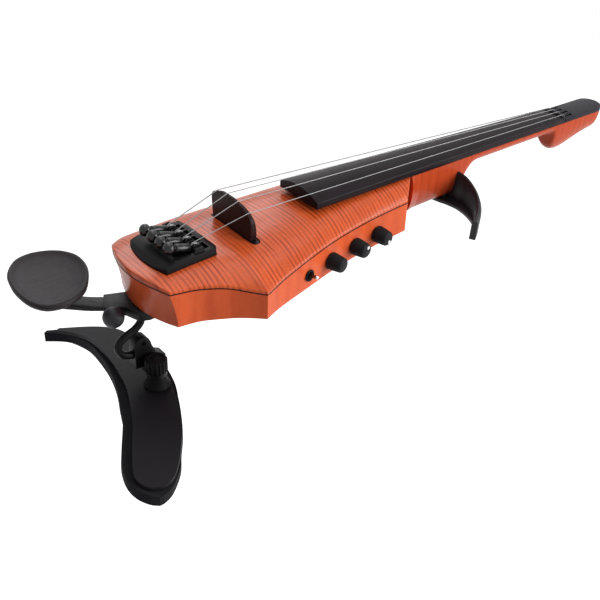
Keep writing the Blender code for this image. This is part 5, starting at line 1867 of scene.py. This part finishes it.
        def place(up: float, turn: float) -> Vector:
            ring = rings[round(up * last)]
            spot = around[round(turn * count) % count]
            x = self.centre[0] + (spot.x - self.centre[0]) * ring.x
            y = self.centre[1] + (spot.y - self.centre[1]) * ring.x
            return Vector((x, y, ring.y))

        mesh = ringed(last, count, place, capped=False)
        socket = drill((*POST_SPOT, 0), (*POST_SPOT, self.post_top + GAP), POST_RADIUS + GAP, 48)
        standing_for("chin_rest", carved(mesh, socket), self.dish, "chin_rest_arm")


@dataclass
class ShoulderRest:
    """Rod, clamp, wheel and base, the arched shoulder plate and its foam pad."""

    metal: Finish
    plastic: Finish
    satin: Finish
    foam: Finish
    rod_end_height: float = -37.0
    lug_half: float = 4.6
    lug_low: float = -47.5
    washer_low: float = -50.6
    washer_high: float = -47.0
    wheel: Point = (-78.4, -15.6)
    wheel_radius: float = 8.0
    wheel_ribs: int = 18
    rib_depth: float = 0.04
    stem_radius: float = 3.0
    boss_seat: float = -59.6
    plate_top: float = -60.0
    sag: float = 0.0012
    plate_thickness: float = 3.0
    pad_thickness: float = 8.6
    pad_drawn_in: float = 0.0005
    pad_swell: float = 0.0008
    pad_pressure: float = 4.0
    pad_frames: int = 20
    pad_inner: tuple[Point, ...] = (
        (-129, -98.8), (-134.3, -95), (-139.3, -87.8), (-141, -78.5), (-139, -68.5), (-135.2, -60),
        (-127.3, -47), (-117.3, -31), (-110.3, -15), (-102.3, 3), (-96, 23), (-91.8, 45), (-89.5, 65),
        (-90.3, 81), (-92.5, 94), (-97, 103), (-104.5, 113),
    )
    pad_outer: tuple[Point, ...] = (
        (-125.5, -98.8), (-119, -96.8), (-111.5, -92), (-103, -84.5), (-95.5, -74), (-87, -62.5),
        (-79, -49), (-71, -33), (-65, -18), (-60.5, -1), (-58, 20), (-57.5, 45), (-60, 65), (-66, 79),
        (-76, 92), (-87, 103), (-101, 115.5),
    )
    plate_inner: tuple[Point, ...] = (
        (-126.5, -95), (-131.5, -92.5), (-135.5, -87.5), (-136.5, -80), (-132, -70), (-123, -55), (-113, -39),
        (-105, -22), (-98, -5), (-93.5, 14), (-90.5, 30), (-88.5, 50), (-88, 68), (-91, 84), (-99, 102),
    )
    plate_outer: tuple[Point, ...] = (
        (-122.5, -95.5), (-116.5, -94), (-110, -89.5), (-103, -82.5), (-94.5, -71.5), (-85, -56),
        (-77, -39.5), (-70.5, -23), (-65, -5), (-62, 14), (-61, 30), (-61.5, 50), (-64.5, 68), (-75, 84),
        (-96, 104),
    )

    def build(self) -> None:
        """Builds the rest from its rod down to its pad."""
        self.rod()
        self.clamp()
        self.thumb_wheel()
        self.base()
        self.plate()
        self.pad()

    def height(self, y: float) -> float:
        """Height of the plate's upper face, lower toward its ends."""
        return self.plate_top - self.sag * y * y

    def rod(self) -> None:
        """The bent rod from the mounting plate down to the clamp."""
        places = [(-80.4, -2.4), (-80.4, -8), (-81.6, -12.4), (-86.2, -16.2), (-92.4, -18.6), (-97.4, -21.4)]
        places += [(-100.2, -25.4), (-99.6, -30), (-96.4, -34), (-91.6, -36.4), (-86.5, -37), (-80.5, -37)]
        path = [(p.x, ROD_SPOT[1], p.y) for p in smooth(places, 8)]
        standing_for("rest_rod", wire(path, ROD_RADIUS, 6), self.metal, "rest_rod", smooth_angle=60)

    def clamp(self) -> None:
        """The lug that grips the rod, grown together with the eye on the base's stem."""
        y = ROD_SPOT[1]
        lug = [(-89.5, self.lug_low), (-64.8, self.lug_low), (-64.8, -43.9), (-71.6, -40.4)]
        crest = (-84.6, -22.6)
        lug += smooth([(-75.6, -31.5), (-76.6, -27.6), (-78.4, -24.4), (-81.2, -22.7), crest], 5)[:-1]
        lug += smooth([crest, (-87.4, -24.2), (-88.9, -27.4), (-89.5, -34)], 5)
        mesh = rounded_edges(sideways(lug, y - self.lug_half, y + self.lug_half), 0.6, 3, 50)
        wheel = self.wheel
        low = self.washer_low
        high = self.washer_high
        washer = drill((*wheel, low), (*wheel, high), 7.4, 48)
        mesh = fused(mesh, washer, brick((-84, -70), (wheel[1], y), (low, high)))
        cutters = [drill((*wheel, -60), (*wheel, -30), self.stem_radius + GAP)]
        rod = self.rod_end_height
        cutters.append(drill((-95, y, rod), (-80, y, rod), ROD_RADIUS + GAP))
        cutters.append(drill((-82, y - 7, -27.4), (-82, y + 7, -27.4), 1.7))
        standing_for("rod_clamp", carved(mesh, *cutters), self.metal, "rod_clamp")

    def thumb_wheel(self) -> None:
        """The ribbed wheel that tightens the clamp."""
        radius = self.wheel_radius
        profile = [(-41.5, 0), (-41.5, 3.3), (-46.6, 3.3), (-46.6, radius * 0.9), (-46.2, radius * 0.98)]
        profile += [(-45.6, radius), (-37.8, radius), (-37.1, radius * 0.97), (-36.5, radius * 0.88)]
        profile += [(-36.5, radius * 0.7), (-37.1, radius * 0.62), (-37.1, 0)]

        def shape(point: Vector) -> Vector:
            reach = math.hypot(point.x, point.y)
            if reach < radius * 0.88:
                return point
            factor = 1 + self.rib_depth * math.cos(self.wheel_ribs * math.atan2(point.y, point.x))
            return Vector((point.x * factor, point.y * factor, point.z))

        mesh = revolved(profile, (*self.wheel, 0), UP, self.wheel_ribs * 10, shape)
        standing_for("thumb_wheel", mesh, self.plastic, "thumb_wheel", smooth_angle=35)

    def base(self) -> None:
        """The boss on the shoulder plate and its stem."""
        seat = self.boss_seat
        stem = self.stem_radius
        profile = [(seat, 0), (seat, 9.6), (-59.2, 9.8), (-58.6, 9.5), (-57.6, 8.7), (-56.2, 7.7)]
        profile += [(-54.4, 7.0), (-51.6, 6.6), (-51.2, 6.2), (-51.2, stem), (-42.8, stem), (-42.6, stem - 0.2), (-42.6, 0)]

        def shape(point: Vector) -> Vector:
            if point.z > seat + 0.2 or math.hypot(point.x, point.y) < 1:
                return point
            return Vector((point.x, point.y, self.height(self.wheel[1] + point.y) + GAP))

        mesh = revolved(profile, (*self.wheel, 0), UP, 64, shape)
        standing_for("clamp_base", mesh, self.plastic, "shoulder_rest")

    def curved(self, inner: Sequence[Point], outer: Sequence[Point], high: float, low: float) -> Mesh:
        """A plate between two edges seen from above that follows the arch of the rest.

        Args:
            inner: The edge toward the tail.
            outer: The edge toward the head, with as many points.
            high: How far the upper face lies under the rest's arch.
            low: How far the lower face lies under it.

        Returns:
            The closed plate.
        """
        left = smooth(inner, 6)
        right = smooth(outer, 6)
        last = len(left) - 1

        def place(along: float, across: float, up: float) -> Vector:
            column = round(along * last)
            point = left[column].lerp(right[column], across)
            level = low + (high - low) * up
            return Vector((point.x, point.y, self.height(point.y) - level))

        return thick(last, 12, place, layers=2)

    def plate(self) -> None:
        """The stiff curved plate."""
        mesh = self.curved(self.plate_inner, self.plate_outer, 0, self.plate_thickness)
        looks = {"edge": 0.6, "edge_steps": 3, "edge_angle": 50}
        standing_for("shoulder_plate", mesh, self.satin, "shoulder_rest", **looks)

    def pad(self) -> None:
        """The foam pad, swollen by a short cloth simulation and kept under the plate."""
        high = self.plate_thickness + GAP
        mesh = self.curved(self.pad_inner, self.pad_outer, high, high + self.pad_thickness)
        mesh = rounded_edges(mesh, 1.6, 3, 50)
        obj = standing_for("shoulder_pad", mesh, self.foam, "shoulder_rest", smooth_angle=80)
        self.swell(obj)

    def swell(self, obj: bpy.types.Object) -> None:
        """Puffs the pad a little with cloth under pressure, within a cap on how far a point moves.

        Args:
            obj: The pad, which keeps its place under the plate.
        """
        cap = self.pad_swell
        start = [v.co.copy() for v in obj.data.vertices]
        shrink = obj.modifiers.new("shrink", "DISPLACE")
        shrink.strength = -self.pad_drawn_in
        shrink.mid_level = 0.0
        self.apply(obj)
        cloth = obj.modifiers.new("cloth", "CLOTH")
        cloth.settings.use_pressure = True
        cloth.settings.uniform_pressure_force = self.pad_pressure
        cloth.settings.effector_weights.gravity = 0.0
        cloth.point_cache.frame_start = 1
        cloth.point_cache.frame_end = self.pad_frames
        for step in range(1, self.pad_frames + 1):
            bpy.context.scene.frame_set(step)
        self.apply(obj)
        bpy.context.scene.frame_set(1)
        top = self.plate_thickness + GAP
        for vert, before in zip(obj.data.vertices, start):
            move = vert.co - before
            if move.length > cap:
                vert.co = before + move * (cap / move.length)
            roof = (self.height(vert.co.y / TO_METRES) - top) * TO_METRES
            vert.co.z = min(vert.co.z, roof)
        smoothing = obj.modifiers.new("finer", "SUBSURF")
        smoothing.levels = 1
        smoothing.render_levels = 1
        self.apply(obj)
        obj.data.shade_smooth()

    @staticmethod
    def apply(obj: bpy.types.Object) -> None:
        """Makes the object's mesh what its modifiers give, and takes them off.

        Args:
            obj: The object.
        """
        graph = bpy.context.evaluated_depsgraph_get()
        data = bpy.data.meshes.new_from_object(obj.evaluated_get(graph))
        obj.modifiers.clear()
        obj.data = data


@dataclass
class Inside:
    """The board and the battery behind the rear cover, whose plain solids only take a finish."""

    board: Finish
    case: Finish

    def build(self) -> None:
        """Gives each node its material."""
        for node, finish in (("preamp_board", self.board), ("battery", self.case)):
            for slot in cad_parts[node].material_slots:
                slot.material = finish.material()


# The studio


@dataclass(frozen=True)
class Lamp:
    """A soft square lamp: where it hangs, where it points, its side and its power."""

    place: tuple[float, float, float]
    aim: tuple[float, float, float]
    side: float
    power: float

    def hang(self, name: str) -> None:
        """Puts the lamp into the scene.

        Args:
            name: The lamp's name.
        """
        light = bpy.data.lights.new(name, "AREA")
        light.shape = "SQUARE"
        light.size = self.side
        light.energy = self.power
        way = Vector(self.aim) - Vector(self.place)
        turn = way.to_track_quat("-Z", "Y").to_matrix().to_4x4()
        in_scene(name, light).matrix_world = Matrix.Translation(self.place) @ turn


def seen_directly(tree: bpy.types.NodeTree, otherwise: float, seen: float) -> Socket:
    """A level for what the camera, reflections and clear materials see, and another for its light.

    Args:
        tree: The material's or world's nodes.
        otherwise: The level for other rays.
        seen: The level for the camera, reflections and clear materials.

    Returns:
        The level's output.
    """
    path = tree.nodes.new("ShaderNodeLightPath").outputs
    either = path["Is Camera Ray"]
    for name in ("Is Glossy Ray", "Is Transmission Ray"):
        node = tree.nodes.new("ShaderNodeMath")
        node.operation = "MAXIMUM"
        tree.links.new(either, node.inputs[0])
        tree.links.new(path[name], node.inputs[1])
        either = node.outputs[0]
    level = tree.nodes.new("ShaderNodeMapRange")
    level.inputs["To Min"].default_value = otherwise
    level.inputs["To Max"].default_value = seen
    tree.links.new(either, level.inputs["Value"])
    return level.outputs["Result"]


@dataclass
class Studio:
    """Camera, soft lamps, white surroundings and a pale floor far below."""

    camera_place: tuple[float, float, float] = (-0.43375, -0.5077, 0.3989)
    azimuth: float = 50.0
    elevation: float = 34.3
    roll: float = 2.3
    lens: float = 60.0
    floor_drop: float = -1.4
    surroundings: float = 0.3
    floor_glow: float = 0.85
    lamps: tuple[Lamp, ...] = (
        Lamp((1.15, -1.45, 0.5), (0.05, 0, 0), 1.5, 40),
        Lamp((0.3, 0.2, 2.0), (0.05, 0, 0), 1.8, 16),
        Lamp((0.42, 1.1, 0.85), (-0.15, 0, 0.03), 0.6, 4),
    )

    def build(self) -> None:
        """Sets up everything but the object."""
        self.camera()
        self.world()
        self.floor()
        for i, lamp in enumerate(self.lamps):
            lamp.hang(f"lamp_{i + 1}")
        bpy.context.scene.view_settings.view_transform = "Standard"

    def camera(self) -> None:
        """The camera at the photograph's angle."""
        turn, tilt, roll = (math.radians(v) for v in (self.azimuth, self.elevation, self.roll))
        ahead = Vector((math.cos(tilt) * math.cos(turn), math.cos(tilt) * math.sin(turn), -math.sin(tilt)))
        level = ahead.cross(UP).normalized()
        over = level.cross(ahead)
        right = level * math.cos(roll) + over * math.sin(roll)
        above = over * math.cos(roll) - level * math.sin(roll)
        data = bpy.data.cameras.new("camera")
        data.lens = self.lens
        data.sensor_width = 36.0
        data.clip_start = 0.01
        obj = in_scene("camera", data)
        axes = Matrix((right, above, -ahead)).transposed().to_4x4()
        obj.matrix_world = Matrix.Translation(self.camera_place) @ axes
        bpy.context.scene.camera = obj

    def world(self) -> None:
        """Plain soft surroundings that look white to the camera and in reflections."""
        world = bpy.data.worlds.new("studio")
        world.use_nodes = True
        bpy.context.scene.world = world
        tree = world.node_tree
        background = tree.nodes["Background"]
        background.inputs["Color"].default_value = (1, 1, 1, 1)
        tree.links.new(seen_directly(tree, self.surroundings, 1.0), background.inputs["Strength"])

    def floor(self) -> None:
        """The pale floor, white to the camera."""
        mesh = bmesh.new()
        bmesh.ops.create_grid(mesh, x_segments=4, y_segments=4, size=4.0)
        bmesh.ops.translate(mesh, verts=mesh.verts[:], vec=(0, 0, self.floor_drop))
        data = mesh_data("floor", mesh)
        obj = in_scene("floor", data)
        material = bpy.data.materials.new("pale_floor")
        material.use_nodes = True
        tree = material.node_tree
        shader = tree.nodes["Principled BSDF"]
        shader.inputs["Base Color"].default_value = (0.8, 0.8, 0.8, 1)
        shader.inputs["Roughness"].default_value = 0.9
        shader.inputs["Emission Color"].default_value = (1, 1, 1, 1)
        tree.links.new(seen_directly(tree, 0.0, self.floor_glow), shader.inputs["Emission Strength"])
        data.materials.append(material)


def main() -> None:
    """Builds the studio and each sub-assembly in order."""
    logging.basicConfig(level=logging.INFO)
    Studio().build()
    maple = FlamedMaple()
    # Side maple: its own plainer tone, partly shifted lighter and more orange as painted warm light from the
    # lit treble side
    sides = FlamedMaple(
        light=tone(222, 96, 52), dark=tone(192, 72, 38), flames_per_metre=70, contrast=0.4, specular=0.1,
        coat=0.03,
    )
    # Neck maple: the sides' own tone with fainter flames, darkened as painted shade for the shade that falls
    # on the thin neck
    neck_wood_with_painted_shade = FlamedMaple(
        light=tone(188, 72, 36), dark=tone(160, 54, 24), flames_per_metre=110, contrast=0.5, specular=0.1,
        coat=0.04,
    )
    ebony = Ebony()
    dish = Ebony(colour=tone(30, 26, 29), warm=tone(38, 33, 36), roughness=0.5, specular=0.18)
    metal = Satin(slot=Slot.BLACK_METAL)
    plastic = Satin()
    knobs = Satin(colour=tone(22, 21, 24), roughness=0.5, grain=1600.0, depth=0.3)
    gloss = Satin(roughness=0.2, depth=0.03, specular=0.4)
    satin = Satin(slot=Slot.BLACK_METAL, colour=tone(21, 19, 23), roughness=0.5)
    ball = Satin(colour=tone(26, 24, 31), roughness=0.5, specular=0.3)
    wheel = Satin(colour=tone(13, 12, 14), roughness=0.55, specular=0.06)
    bright = BrightMetal()
    dot = Satin(colour=tone(246, 246, 244), depth=0.03)
    tuners = Tuners(metal, gloss)
    bridge = BridgeSet(Ebony(colour=tone(34, 20, 20), warm=tone(54, 35, 33)), ebony)
    neck = NeckAndHead(neck_wood_with_painted_shade, ebony, Ebony(colour=tone(34, 33, 38), warm=tone(44, 42, 48)), bright)
    assemblies = [
        BodyShell(maple, sides, Ebony(colour=tone(28, 12, 12)), plastic, bright),
        neck,
        bridge,
        tuners,
        Strings(WoundString(), tuners, bridge, neck),
        # The toggle lever's brown metal colour is a painted reflection of the orange wood around it
        Controls(knobs, dot, bright, BrightMetal(colour=tone(118, 72, 46), roughness=0.4), plastic),
        BodyRest(Satin(slot=Slot.BLACK_METAL, colour=tone(32, 29, 34), specular=0.28), bright),
        ChinRest(Satin(slot=Slot.BLACK_METAL, colour=tone(23, 21, 25), specular=0.16), ball, dish, bright),
        ShoulderRest(metal, wheel, satin, Foam()),
        Inside(CircuitBoard(), Satin(slot=Slot.CELL_CASE, colour=tone(58, 60, 72))),
    ]
    for assembly in assemblies:
        assembly.build()
        LOG.info("built %s", type(assembly).__name__)


if __name__ == "__main__":
    main()
